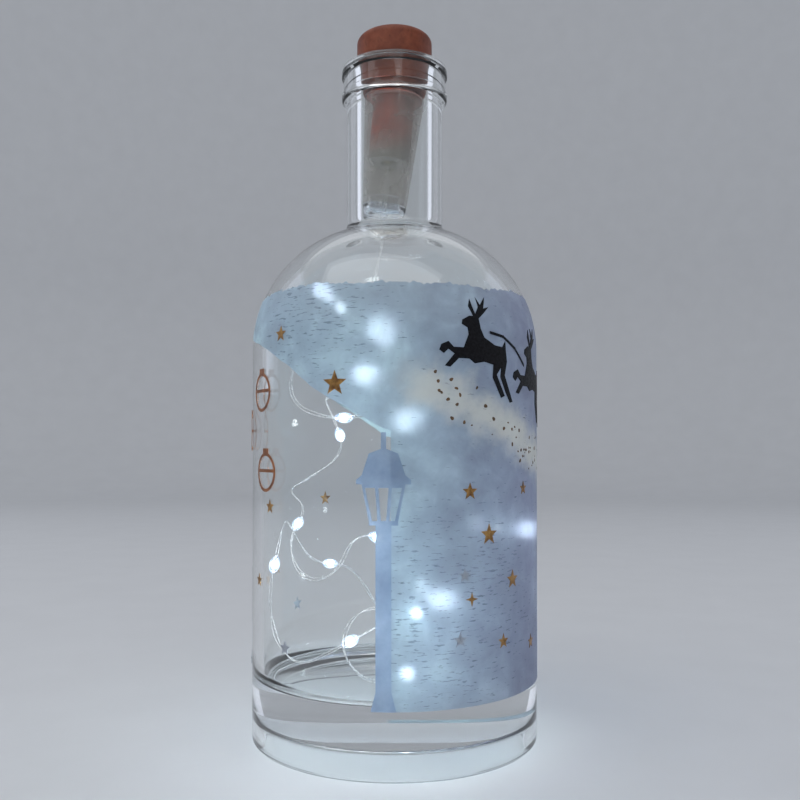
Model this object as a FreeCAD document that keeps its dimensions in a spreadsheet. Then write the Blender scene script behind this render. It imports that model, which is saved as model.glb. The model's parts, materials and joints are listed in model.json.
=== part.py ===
"""Bottle light: a printed glass bottle, a cork-coloured stopper that holds the
cells and the switch, and a string of small lights inside. Millimetres, +Z up,
origin at the centre of the base."""
import FreeCAD, Part
import math
import os
import re
import Sketcher

Vector = FreeCAD.Vector

# Driving dimensions in mm, angles in degrees
sizes = {
    # glass bottle
    "body_radius": 44.0,
    "body_wall": 3.3,
    "floor_height": 19.0,
    "foot_height": 7.6,
    "foot_dome": 1.2,
    "foot_wall": 4.0,
    "foot_inner_round": 1.5,
    "foot_edge_round": 0.5,
    "heel_round": 1.2,
    "inner_heel_round": 4.0,
    "wall_height": 118.0,
    "shoulder_offset": 5.0,
    "neck_radius": 14.95,
    "neck_fillet": 4.0,
    "bore_radius": 10.75,
    "collar_radius": 16.6,
    "collar_height": 10.7,
    "collar_bead": 2.6,
    "collar_waist": 0.5,
    "collar_round": 1.1,
    "lip_round": 0.5,
    "bottle_height": 207.6,
    # prints on the glass
    "film_thickness": 0.12,
    "print_gap": 0.02,
    "print_lift": 0.06,
    "print_thickness": 0.12,
    "film_bottom": 19.0,
    "film_top": 134.5,
    "window_edge": -1.0,
    "lamp_center": -2.9,
    "lamp_foot_height": 5.1,
    "lamp_foot_half": 3.4,
    "lamp_post_half": 2.1,
    "lamp_post_height": 43.8,
    "lamp_sill_half": 3.9,
    "lamp_sill_height": 1.2,
    "lamp_cage_height": 9.6,
    "lamp_cage_half": 5.8,
    "lamp_rib": 0.9,
    "lamp_brim_half": 7.3,
    "lamp_brim_height": 1.2,
    "lamp_dome_height": 7.0,
    "lamp_finial_half": 0.7,
    "lamp_finial_height": 5.6,
    "deer_length": 25.0,
    "deer_height": 30.0,
    "rein_width": 0.8,
    "star_size": 7.2,
    "bauble_radius": 5.6,
    "bauble_line": 0.9,
    # stopper cap
    "head_radius": 11.8,
    "head_height": 10.2,
    "head_round": 2.2,
    "head_edge": 0.4,
    "bore_clearance": 0.15,
    "plug_length": 6.7,
    "step_radius": 9.95,
    "step_length": 1.9,
    "cap_bore_radius": 7.3,
    "fit_clearance": 0.05,
    # slide switch and circuit board
    "board_thickness": 1.0,
    "switch_length": 8.6,
    "switch_width": 3.6,
    "switch_height": 4.2,
    "switch_shell": 0.4,
    "ceiling_gap": 0.2,
    "switch_travel": 2.0,
    "knob_stem": 1.8,
    "knob_root": 1.2,
    "knob_length": 3.4,
    "knob_width": 3.0,
    "knob_thickness": 1.1,
    "knob_groove": 0.3,
    "knob_clearance": 0.25,
    "recess_depth": 1.6,
    "ceiling_thickness": 2.6,
    "pin_radius": 0.25,
    "pin_length": 1.9,
    "pin_distance": 2.5,
    "chip_length": 2.9,
    "chip_width": 1.6,
    "chip_height": 1.1,
    "resistor_length": 2.0,
    "resistor_width": 1.25,
    "resistor_height": 0.5,
    "solder_radius": 0.55,
    "part_row": 4.6,
    # battery tube, in its own leaning frame
    "stem_gap": 1.6,
    "stem_lean": 5.5,
    "sleeve_length": 33.8,
    "sleeve_top_radius": 9.4,
    "sleeve_bottom_radius": 6.95,
    "sleeve_wall": 1.0,
    "end_cap_length": 5.0,
    "end_cap_bottom_radius": 6.35,
    "end_cap_round": 0.8,
    "end_cap_wall": 1.6,
    "end_cap_floor": 2.2,
    "end_cap_spigot": 2.6,
    "cell_radius": 5.8,
    "cell_height": 5.4,
    "cell_lid_radius": 4.9,
    "cell_lid_height": 0.6,
    "cell_top": 1.7,
    "cell_gap": 0.15,
    "cradle_wall": 0.55,
    "cradle_rise": 4.0,
    "cradle_flange_radius": 8.8,
    "cradle_flange": 0.6,
    "cradle_floor": 1.0,
    "plate_thickness": 0.3,
    "plate_radius": 5.0,
    "spring_wire": 0.5,
    "spring_radius": 2.6,
    "negative_spring_height": 3.6,
    "strip_width": 2.0,
    "strip_thickness": 0.3,
    "strip_drop": 0.8,
    "finger_gap": 0.3,
    "inner_lead_radius": 0.25,
    "inner_lead_distance": 0.5,
    "inner_lead_drop": 1.2,
    "gland_radius": 1.1,
    "gland_tip": 0.7,
    "gland_out": 1.0,
    # light string
    "wire_radius": 0.4,
    "lead_straight": 8.0,
    "bead_length": 5.4,
    "bead_radius": 1.6,
    "bead_bore_radius": 0.7,
    "led_length": 1.6,
    "led_width": 1.2,
    "led_height": 0.5,
    "led_gap": 0.1,
    # cuts run this far past the solid
    "overrun": 2.0,
}

# Places and outlines, as shares of the sizes that they follow
# clear window of the film: across as shares of body_radius, up as shares of wall_height
window_shares = [(-0.066, 0.79), (-0.198, 0.818), (-0.293, 0.839), (-0.515, 0.89),
                 (-0.695, 0.949), (-0.985, 1.034)]
# prints: turn from the front as a share of 360 degrees (positive to the right),
# height as a share of wall_height
gold_star_shares = [
    (-0.128, 1.019, 0.66, 5),
    (-0.059, 0.895, 1.0, 5),
    (0.076, 0.649, 0.68, 5),
    (0.156, 0.652, 0.55, 5),
    (0.099, 0.549, 0.84, 5),
    (0.134, 0.438, 0.74, 5),
    (0.078, 0.404, 0.56, 4),
    (0.119, 0.297, 0.6, 5),
    (0.176, 0.274, 0.6, 5),
    (-0.147, 0.608, 0.6, 5),
    (-0.173, 0.425, 0.55, 5),
    (0.632, 0.968, 0.7, 5),
    (0.3, 0.75, 0.7, 5),
    (0.36, 0.5, 0.8, 5),
    (0.42, 0.3, 0.6, 4),
    (-0.3, 0.42, 0.8, 5),
    (-0.4, 0.6, 0.7, 5),
]
grey_star_shares = [
    (-0.12, 0.28, 0.6, 5),
    (0.065, 0.314, 0.62, 5),
    (0.07, 0.459, 0.56, 5),
    (0.25, 0.4, 0.7, 5),
    (-0.24, 0.2, 0.6, 5),
    (-0.35, 0.3, 0.7, 5),
]
star_waist_share = 0.42
four_point_waist_share = 0.3
bauble_shares = [(-0.167, 0.885), (-0.157, 0.69), (-0.235, 0.79)]
bauble_cap_share = 0.3
deer_place_shares = [(0.089, 0.978), (0.181, 0.925)]
# a leaping deer seen from its side, nose to the left: shares of its length and height
deer_outline_shares = [
    (0.0, 0.47), (0.02, 0.52), (0.1, 0.55), (0.16, 0.5), (0.28, 0.5),
    (0.34, 0.62), (0.33, 0.68), (0.26, 0.71), (0.27, 0.75), (0.36, 0.79),
    (0.41, 0.79), (0.36, 0.88), (0.39, 0.95), (0.41, 0.88), (0.44, 0.81),
    (0.49, 0.88), (0.47, 0.97), (0.52, 0.9), (0.6, 0.98), (0.56, 0.87),
    (0.64, 0.89), (0.55, 0.82), (0.48, 0.77), (0.5, 0.68), (0.55, 0.6),
    (0.7, 0.54), (0.82, 0.53), (0.87, 0.59), (0.88, 0.5), (0.9, 0.4),
    (0.86, 0.27), (0.93, 0.15), (1.0, 0.03), (0.95, 0.02), (0.87, 0.12),
    (0.79, 0.25), (0.8, 0.34), (0.73, 0.27), (0.86, 0.08), (0.8, 0.06),
    (0.67, 0.24), (0.68, 0.36), (0.55, 0.38), (0.42, 0.36), (0.35, 0.4),
    (0.22, 0.4), (0.12, 0.32), (0.06, 0.33), (0.17, 0.44), (0.1, 0.48),
    (0.05, 0.44),
]
rein_shares = [(0.101, 1.017), (0.12, 1.01), (0.14, 0.985), (0.158, 0.95)]

# Route of the free lead between the battery tube and the string: its exit and
# first run come from the tube's lower end, and the rest is chosen by hand
lead_points = [
    (-7.5, 1.0, 138.0), (-3.5, 3.5, 129.0), (3.0, -1.5, 123.0),
    (7.0, -9.5, 116.5), (6.5, -16.0, 108.0), (-0.5, -20.5, 102.5),
]
# Route of the string in the bottle
string_points = [
    (-0.5, -20.5, 102.5), (-7.5, -25.0, 97.0), (-21.0, -24.0, 97.0), (-30.5, -17.0, 102.5),
    (-29.5, -15.5, 115.0), (-24.0, -16.5, 130.0), (-14.5, -7.5, 136.5), (-16.0, 10.5, 143.5),
    (-9.5, 22.0, 134.0), (3.0, 22.5, 119.0), (3.0, 30.0, 107.5), (-8.0, 27.5, 99.5),
    (-12.5, 19.5, 107.0), (-3.0, 16.0, 117.5), (10.0, 22.0, 119.5), (14.0, 31.0, 109.5),
    (9.5, 34.0, 99.0), (-2.5, 33.0, 97.5), (-15.0, 29.5, 105.5), (-25.0, 20.0, 106.5),
    (-20.5, 13.0, 98.5), (-15.5, 7.0, 87.0), (-29.0, 9.0, 78.0), (-34.0, -1.0, 75.5),
    (-26.0, -9.5, 70.5), (-30.5, -20.5, 61.5), (-25.0, -29.0, 51.0), (-15.5, -35.0, 53.5),
    (-10.5, -34.5, 66.0), (1.5, -31.5, 61.5), (14.0, -30.5, 59.5), (21.0, -28.5, 50.0),
    (11.5, -33.0, 41.0), (0.0, -35.0, 45.5), (-10.5, -34.0, 44.0), (-15.0, -31.5, 33.5),
    (-9.5, -32.0, 25.0), (-2.5, -31.0, 23.5), (9.5, -29.0, 28.5), (16.5, -26.0, 31.0),
    (17.0, -21.5, 37.5), (9.0, -22.0, 40.5), (-1.0, -25.0, 40.0), (-7.0, -27.5, 37.0),
    (-17.5, -28.5, 31.5), (-26.5, -23.0, 26.0), (-33.5, -16.0, 30.0), (-37.0, -10.5, 38.5),
    (-37.0, -11.5, 47.5), (-35.0, -8.0, 59.0), (-36.0, 6.5, 66.5), (-34.5, 18.0, 60.0),
    (-28.0, 18.0, 50.0), (-16.0, 22.0, 49.5), (-11.0, 32.0, 41.0), (-5.0, 36.0, 30.0),
    (6.5, 32.0, 34.0), (17.5, 28.0, 42.0), (27.5, 26.0, 46.5), (35.5, 16.5, 44.5),
    (35.5, 11.5, 57.0), (32.5, 8.5, 68.0),
]
# each light sits at the middle of the run that starts at this point
light_runs = [1, 5, 8, 12, 16, 20, 24, 28, 32, 37, 43, 48, 52, 56, 60]
arc_share = 0.45

document = FreeCAD.newDocument("bottle_light")
sheet = document.addObject("Spreadsheet::Sheet", "Sizes")
for row, (alias, number) in enumerate(sizes.items(), start=1):
    sheet.set("A%d" % row, alias)
    sheet.set("B%d" % row, str(number))
    sheet.setAlias("B%d" % row, alias)
document.recompute()
nodes = []


def bound(text):
    """Write a sum of named sizes as an expression on the sheet."""
    return re.sub(r"[a-z][a-z_]+", lambda word: "Sizes." + word.group()
                  if word.group() in sizes else word.group(), text)


def value(text):
    """Number that such a sum has now."""
    result = sheet.evalExpression(bound(text))
    return float(getattr(result, "Value", result))


def bind(item, **sums):
    """Bind properties of an object, such as Radius, to sums of sizes."""
    for name, text in sums.items():
        item.setExpression(name.replace("_at_", "."), bound(text))


def add(kind, name, **sums):
    """Add a Part object whose properties are bound."""
    item = document.addObject(kind, name)
    bind(item, **sums)
    return item


def place(item, x="0", y="0", z="0", leaning=False):
    """Place an object, in the upright frame or in the leaning tube's frame."""
    if leaning:
        turn = FreeCAD.Rotation(Vector(0, 1, 0), value("stem_lean"))
        shift = turn.multVec(Vector(value(x), value(y), value(z)))
        item.Placement = FreeCAD.Placement(shift, turn)
        lean = "sin(stem_lean * 1 deg)"
        straight = "cos(stem_lean * 1 deg)"
        bind(item, Placement_at_Base_at_x="(%s) * %s + (%s) * %s" % (x, straight, z, lean),
             Placement_at_Base_at_y=y,
             Placement_at_Base_at_z="%s + (%s) * %s - (%s) * %s" % (
                 stem_top, z, straight, x, lean))
    else:
        bind(item, Placement_at_Base_at_x=x, Placement_at_Base_at_y=y,
             Placement_at_Base_at_z=z)
    return item


def node(item, name):
    """Name a sub-part, which is written to a file of that name."""
    item.Label = name
    nodes.append(item)
    return item


def outline(body, name, plane, loops, offset=None):
    """Sketch on one of the body's own planes. A loop is a list of corners, each
    (across, up) for a line to it or (across, up, center across, center up, turn)
    for an arc to it, where turn is 1 for counter-clockwise and -1 for clockwise."""
    sketch = body.newObject("Sketcher::SketchObject", name)
    sketch.AttachmentSupport = [([feature for feature in body.Origin.OriginFeatures
                                  if feature.Role == plane][0], "")]
    sketch.MapMode = "FlatFace"
    if offset:
        bind(sketch, AttachmentOffset_at_Base_at_z=offset)
    for loop in loops:
        spots = [Vector(value(corner[0]), value(corner[1]), 0) for corner in loop]
        edges = []
        for k, corner in enumerate(loop):
            start, end = spots[k - 1], spots[k]
            if len(corner) == 2:
                edges.append((sketch.addGeometry(Part.LineSegment(start, end)), 1, 2, None))
                continue
            center = Vector(value(corner[2]), value(corner[3]), 0)
            circle = Part.Circle(center, Vector(0, 0, 1), (start - center).Length)
            begin = math.atan2(start.y - center.y, start.x - center.x)
            finish = math.atan2(end.y - center.y, end.x - center.x)
            turn = corner[4]
            if turn < 0:
                begin, finish = finish, begin
            if finish <= begin:
                finish += 2 * math.pi
            arc = sketch.addGeometry(Part.ArcOfCircle(circle, begin, finish))
            edges.append((arc, 1, 2, corner[2]) if turn > 0 else (arc, 2, 1, corner[2]))
        for k, (edge, first, last, center_across) in enumerate(edges):
            following = edges[(k + 1) % len(edges)]
            sketch.addConstraint(Sketcher.Constraint("Coincident", edge, last,
                                                     following[0], following[1]))
            for way, text in (("DistanceX", loop[k][0]), ("DistanceY", loop[k][1])):
                size = spots[k].x if way == "DistanceX" else spots[k].y
                number = sketch.addConstraint(Sketcher.Constraint(way, -1, 1, edge, last, size))
                sketch.setExpression("Constraints[%d]" % number, bound(text))
            if center_across:
                number = sketch.addConstraint(Sketcher.Constraint(
                    "DistanceX", -1, 1, edge, 3, value(center_across)))
                sketch.setExpression("Constraints[%d]" % number, bound(center_across))
    return sketch


def turned(name, loop):
    """Body turned about its own upright axis."""
    body = document.addObject("PartDesign::Body", name)
    sketch = outline(body, name + "_profile", "XZ_Plane", [loop])
    turn = body.newObject("PartDesign::Revolution", name + "_turn")
    turn.Profile = sketch
    turn.ReferenceAxis = (sketch, ["V_Axis"])
    turn.Angle = 360
    document.recompute()
    return body


def pocket(body, name, loops, offset, depth):
    """Cut a body downwards from a level of its own frame."""
    before = body.Shape.Volume
    sketch = outline(body, name + "_outline", "XY_Plane", loops, offset)
    cut = body.newObject("PartDesign::Pocket", name)
    cut.Profile = sketch
    bind(cut, Length=depth)
    document.recompute()
    if not body.Shape.Volume < before:
        raise RuntimeError(name + " cuts nothing")
    return body


def rectangle(length, width, x="0", y="0"):
    """Corners of a rectangle round a middle point."""
    left, right = "%s - (%s) / 2" % (x, length), "%s + (%s) / 2" % (x, length)
    low, high = "%s - (%s) / 2" % (y, width), "%s + (%s) / 2" % (y, width)
    return [(left, low), (right, low), (right, high), (left, high)]


def common(name, first, second):
    """Part of one object that lies inside another."""
    item = document.addObject("Part::Common", name)
    item.Base, item.Tool = first, second
    return item


def cut(name, first, second):
    """One object with another cut away."""
    item = document.addObject("Part::Cut", name)
    item.Base, item.Tool = first, second
    return item


def fuse(name, pieces):
    """Several touching objects as one."""
    item = document.addObject("Part::MultiFuse", name)
    item.Shapes = pieces
    return item


def shaped(name, shape, placement=None):
    """Sub-part whose shape is made directly, from sizes read from the sheet."""
    item = document.addObject("Part::Feature", name)
    item.Shape = shape
    if placement:
        item.Placement = placement
    return node(item, name)


# Arcs of the shoulder and the neck, outside and inside, which share their centers
shoulder_radius = "(body_radius - shoulder_offset)"
inner_shoulder_radius = "(body_radius - body_wall - shoulder_offset)"
fillet_across = "(neck_radius + neck_fillet)"
inner_fillet_radius = "(neck_fillet + neck_radius - bore_radius)"


def rise(reach):
    """Height of the neck fillet's center over the shoulder's center."""
    return "sqrt(%s ^ 2 - (%s - shoulder_offset) ^ 2)" % (reach, fillet_across)


outer_reach = "(%s + neck_fillet)" % shoulder_radius
inner_reach = "(%s + %s)" % (inner_shoulder_radius, inner_fillet_radius)
outer_rise = rise(outer_reach)
inner_rise = rise(inner_reach)


def tangent(radius, reach, height):
    """Point where the shoulder's arc meets the neck's fillet."""
    across = "shoulder_offset + (%s - shoulder_offset) * %s / %s" % (fillet_across, radius, reach)
    up = "wall_height + %s * %s / %s" % (height, radius, reach)
    return across, up


def make_bottle():
    across, up = tangent(shoulder_radius, outer_reach, outer_rise)
    inner_across, inner_up = tangent(inner_shoulder_radius, inner_reach, inner_rise)
    collar_bottom = "bottle_height - collar_height"
    waist = "collar_radius - collar_waist"
    inner = "body_radius - body_wall"
    # hollow foot: a slightly domed roof, and a ring wall that stands on the table
    foot_inner = "(body_radius - foot_wall)"
    roof_reach = "(%s - foot_inner_round)" % foot_inner
    roof_drop = "(%s ^ 2 - foot_dome ^ 2) / (2 * foot_dome)" % roof_reach
    corner = "foot_height - foot_inner_round"
    loop = [
        ("0", "foot_height + foot_dome"),
        (roof_reach, "foot_height", "0", "foot_height - " + roof_drop, -1),
        (foot_inner, corner, roof_reach, corner, -1),
        (foot_inner, "foot_edge_round"),
        (foot_inner + " + foot_edge_round", "0", foot_inner + " + foot_edge_round",
         "foot_edge_round", 1),
        ("body_radius - heel_round", "0"),
        ("body_radius", "heel_round", "body_radius - heel_round", "heel_round", 1),
        ("body_radius", "wall_height"),
        (across, up, "shoulder_offset", "wall_height", 1),
        ("neck_radius", "wall_height + " + outer_rise, fillet_across,
         "wall_height + " + outer_rise, -1),
        ("neck_radius", collar_bottom),
        ("collar_radius - collar_round", collar_bottom),
        ("collar_radius", collar_bottom + " + collar_round", "collar_radius - collar_round",
         collar_bottom + " + collar_round", 1),
        ("collar_radius", collar_bottom + " + collar_bead - collar_waist"),
        (waist, collar_bottom + " + collar_bead"),
        (waist, "bottle_height - collar_bead - collar_waist"),
        ("collar_radius", "bottle_height - collar_bead"),
        ("collar_radius", "bottle_height - collar_round"),
        ("collar_radius - collar_round", "bottle_height", "collar_radius - collar_round",
         "bottle_height - collar_round", 1),
        ("bore_radius + lip_round", "bottle_height"),
        ("bore_radius", "bottle_height - lip_round", "bore_radius + lip_round",
         "bottle_height - lip_round", 1),
        ("bore_radius", "wall_height + " + inner_rise),
        (inner_across, inner_up, fillet_across, "wall_height + " + inner_rise, 1),
        (inner, "wall_height", "shoulder_offset", "wall_height", -1),
        (inner, "floor_height + inner_heel_round"),
        (inner + " - inner_heel_round", "floor_height", inner + " - inner_heel_round",
         "floor_height + inner_heel_round", -1),
        ("0", "floor_height"),
    ]
    return node(turned("bottle_glass", loop), "bottle_glass")


def make_band(name, gap, thickness, low, high):
    """Thin band that follows the glass from the wall on to the shoulder."""
    inside = "(body_radius + %s)" % gap
    outside = "(body_radius + %s + %s)" % (gap, thickness)
    top = "(%s - wall_height)" % high

    def reach(radius):
        return "shoulder_offset + sqrt((%s - shoulder_offset) ^ 2 - %s ^ 2)" % (radius, top)

    loop = [
        (inside, low),
        (outside, low),
        (outside, "wall_height"),
        (reach(outside), high, "shoulder_offset", "wall_height", 1),
        (reach(inside), high),
        (inside, "wall_height", "shoulder_offset", "wall_height", -1),
    ]
    return turned(name, loop)


def make_film():
    """Frosted film, open below the hill line on the left."""
    film = make_band("frost_film", "print_gap", "film_thickness", "film_bottom", "film_top")
    beyond = "-(body_radius + overrun)"
    hill = [("body_radius * %s" % across, "wall_height * %s" % up)
            for across, up in window_shares]
    loop = [("window_edge", "film_bottom - overrun"), ("window_edge", hill[0][1])]
    loop += hill
    loop += [(beyond, hill[-1][1]), (beyond, "film_bottom - overrun")]
    sketch = outline(film, "window_outline", "XZ_Plane", [loop])
    window = film.newObject("PartDesign::Pocket", "window")
    window.Profile = sketch
    window.Type = "ThroughAll"
    window.Midplane = True
    before = film.Shape.Volume
    document.recompute()
    if not film.Shape.Volume < before:
        raise RuntimeError("the window cuts nothing")
    return node(film, "frost_film")


def make_lamp(shell):
    """Street lamp printed on the front: foot, post, ribbed lantern and dome."""
    def side(half, height, sign):
        return ("lamp_center %s (%s)" % ("+" if sign > 0 else "-", half), height)

    foot_top = "film_bottom + lamp_foot_height"
    sill = foot_top + " + lamp_post_height"
    cage = sill + " + lamp_sill_height"
    cage_top = cage + " + lamp_cage_height"
    brim = cage_top + " + lamp_brim_height"
    dome = brim + " + lamp_dome_height"
    tip = dome + " + lamp_finial_height"
    steps = [
        ("lamp_foot_half", "film_bottom + print_gap"), ("lamp_post_half", foot_top),
        ("lamp_post_half", sill), ("lamp_sill_half", sill), ("lamp_sill_half", cage),
        ("lamp_cage_half", cage_top), ("lamp_brim_half", cage_top), ("lamp_brim_half", brim),
        ("lamp_cage_half", brim + " + lamp_brim_height"), ("lamp_sill_half", dome),
        ("lamp_finial_half", dome + " + lamp_brim_height"), ("lamp_finial_half", tip),
    ]
    loops = [[side(half, height, 1) for half, height in steps]
             + [side(half, height, -1) for half, height in reversed(steps)]]
    gap_count = 3
    for k in range(gap_count):
        corners = []
        for half, height, ends in (("lamp_sill_half", cage, (k, k + 1)),
                                   ("lamp_cage_half", cage_top + " - lamp_rib", (k + 1, k))):
            for end in ends:
                rib = "+ lamp_rib / 2" if end == k else "- lamp_rib / 2"
                across = "lamp_center - (%s - lamp_rib / 2) * (1 - 2 * %d / %d) %s" % (
                    half, end, gap_count, rib)
                corners.append((across, height))
        loops.append(corners)
    body = document.addObject("PartDesign::Body", "lamp_prism")
    sketch = outline(body, "lamp_outline", "XZ_Plane", loops)
    pad = body.newObject("PartDesign::Pad", "lamp_pad")
    pad.Profile = sketch
    bind(pad, Length="body_radius + overrun")
    document.recompute()
    # the prism has to reach the front of the glass, which is towards -Y
    if body.Shape.BoundBox.YMin > -value("body_radius"):
        raise RuntimeError("the lamp's prism points to the back")
    node(common("street_lamp", body, shell), "street_lamp")


def prism(points, turn_share, height_share, size):
    """Prism through the front of the bottle: points are (across, up) shares of
    size about the print's own middle, turned to its place round the body."""
    reach = value("body_radius") + value("overrun")
    corners = [Vector(across * size[0], 0, up * size[1]) for across, up in points]
    face = Part.Face(Part.makePolygon(corners + corners[:1]))
    solid = face.extrude(Vector(0, -reach, 0))
    solid.rotate(Vector(0, 0, 0), Vector(0, 0, 1), 360 * turn_share)
    solid.translate(Vector(0, 0, height_share * value("wall_height")))
    return solid


def star_points(count, waist):
    """Corners of a star of the given number of points, one point up."""
    points = []
    for k in range(2 * count):
        reach = 1 if k % 2 == 0 else waist
        angle = math.pi * (0.5 + k / count)
        points.append((reach * math.cos(angle) / 2, reach * math.sin(angle) / 2))
    return points


def make_stars(name, table, shell):
    size = value("star_size")
    solids = []
    for turn_share, height_share, size_share, count in table:
        waist = star_waist_share if count == 5 else four_point_waist_share
        star = prism(star_points(count, waist), turn_share, height_share,
                     (size * size_share, size * size_share))
        solids += star.common(shell.Shape).Solids
    shaped(name, Part.Compound(solids))


def make_deer(shell):
    """Two black leaping deer, one behind the other, joined by a rein."""
    size = (value("deer_length"), value("deer_height"))
    points = [(across - 0.5, up - 0.5) for across, up in deer_outline_shares]
    for name, (turn_share, height_share) in zip(("deer_leading", "deer_following"),
                                                deer_place_shares):
        solid = prism(points, turn_share, height_share, size)
        shaped(name, solid.common(shell.Shape))
    reach = value("body_radius") + value("overrun")
    width = value("rein_width")
    links = []
    for (turn, up), (next_turn, next_up) in zip(rein_shares, rein_shares[1:]):
        first = Vector(reach * math.sin(2 * math.pi * turn),
                       -reach * math.cos(2 * math.pi * turn), up * value("wall_height"))
        second = Vector(reach * math.sin(2 * math.pi * next_turn),
                        -reach * math.cos(2 * math.pi * next_turn),
                        next_up * value("wall_height"))
        lift = Vector(0, 0, width / 2)
        face = Part.Face(Part.makePolygon([first - lift, second - lift, second + lift,
                                           first + lift, first - lift]))
        out = (first + second) / 2
        out.z = 0
        links.append(face.extrude(-out / 2))
    rein = links[0].fuse(links[1:]).common(shell.Shape)
    shaped("rein_print", rein)


def make_baubles(shell):
    """Round tree baubles in outline, in the place of lettering."""
    radius, line = value("bauble_radius"), value("bauble_line")
    reach = value("body_radius") + value("overrun")
    solids = []
    for turn_share, height_share in bauble_shares:
        back = Vector(0, -1, 0)
        ring = Part.makeCylinder(radius, reach, Vector(0, 0, 0), back).cut(
            Part.makeCylinder(radius - line, reach, Vector(0, 0, 0), back))
        half = radius * bauble_cap_share
        cap = Part.makeBox(2 * half, reach, half, Vector(-half, -reach, radius - line / 2))
        belt = Part.makeBox(2 * radius - line, reach, line, Vector(line / 2 - radius, -reach, 0))
        shape = ring.fuse([cap, belt])
        shape.rotate(Vector(0, 0, 0), Vector(0, 0, 1), 360 * turn_share)
        shape.translate(Vector(0, 0, height_share * value("wall_height")))
        solids += shape.common(shell.Shape).Solids
    shaped("bauble_prints", Part.Compound(solids))


# Levels of the stopper: the tube hangs under the cap, and the board hangs below the
# cap's ceiling by the switch's height
cap_bottom = "(bottle_height - plug_length - step_length)"
stem_top = "(%s - stem_gap)" % cap_bottom
cap_top = "(bottle_height + head_height)"
ceiling = "(%s - recess_depth - ceiling_thickness)" % cap_top
board_level = "(%s - ceiling_gap - switch_height)" % ceiling
board_bottom = "(%s - board_thickness)" % board_level
knob_level = "(%s - recess_depth + knob_clearance)" % cap_top


def make_cap():
    """Stopper cap: head on the lip, plug in the bore, smaller step below."""
    plug = "(bore_radius - bore_clearance)"
    loop = [
        ("cap_bore_radius", cap_bottom),
        ("step_radius", cap_bottom),
        ("step_radius", "bottle_height - plug_length"),
        (plug, "bottle_height - plug_length"),
        (plug, "bottle_height"),
        ("head_radius - head_edge", "bottle_height"),
        ("head_radius", "bottle_height + head_edge", "head_radius - head_edge",
         "bottle_height + head_edge", 1),
        ("head_radius", cap_top + " - head_round"),
        ("head_radius - head_round", cap_top, "head_radius - head_round",
         cap_top + " - head_round", 1),
        ("0", cap_top),
        ("0", ceiling),
        ("cap_bore_radius", ceiling),
    ]
    cap = turned("cork_cap", loop)
    travel = "(switch_travel + 2 * knob_clearance)"
    recess = rectangle("knob_length + " + travel, "knob_width + 2 * knob_clearance",
                       "switch_travel / 2")
    pocket(cap, "switch_recess", [recess], cap_top, "recess_depth")
    slot = rectangle("knob_stem + " + travel, "knob_stem + 2 * knob_clearance",
                     "switch_travel / 2")
    pocket(cap, "switch_slot", [slot], cap_top, "head_height")
    node(cap, "cork_cap")


def block(name, length, width, height, x, y, z, leaning=False):
    """Box round a middle point on its lower face."""
    item = add("Part::Box", name, Length=length, Width=width, Height=height)
    return place(item, "%s - (%s) / 2" % (x, length), "%s - (%s) / 2" % (y, width), z, leaning)


def rod(name, radius, height, x, y, z, leaning=False):
    """Upright cylinder that stands on the given level."""
    item = add("Part::Cylinder", name, Radius=radius, Height=height)
    return place(item, x, y, z, leaning)


def make_switch():
    """Slide switch under the cap's ceiling: housing, pins and knob."""
    middle = "switch_travel / 2"
    shell = block("switch_shell_block", "switch_length", "switch_width", "switch_height",
                  middle, "0", board_level)
    room = block("switch_room", "switch_length - 2 * switch_shell",
                 "switch_width - 2 * switch_shell", "switch_height",
                 middle, "0", "%s + switch_height / 2" % board_level)
    node(cut("switch_housing", shell, room), "switch_housing")
    pins = []
    for k in (-1, 0, 1):
        pins.append(rod("switch_pin_%d" % (k + 2), "pin_radius", "pin_length",
                        "%s + %d * pin_distance" % (middle, k), "0",
                        "%s - pin_length" % board_level))
    group = document.addObject("Part::Compound", "switch_pins")
    group.Links = pins
    node(group, "switch_pins")
    root_level = "(%s + switch_height / 2 + knob_clearance)" % board_level
    root = block("knob_root_block", "knob_stem + knob_root", "knob_stem", "knob_root",
                 "0", "0", root_level)
    stem = block("knob_stem_block", "knob_stem", "knob_stem",
                 "%s - %s" % (knob_level, root_level), "0", "0", root_level)
    pad = block("knob_pad", "knob_length", "knob_width", "knob_thickness", "0", "0", knob_level)
    grooves = []
    for k in (-1, 0, 1):
        grooves.append(block("knob_groove_%d" % (k + 2), "knob_groove",
                             "knob_width + overrun", "knob_thickness",
                             "%d * knob_length / 4" % k, "0",
                             "%s + knob_thickness - knob_groove" % knob_level))
    grip = cut("knob_grip", fuse("knob_solid", [root, stem, pad]), fuse("knob_grooves", grooves))
    node(grip, "switch_knob")


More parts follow.
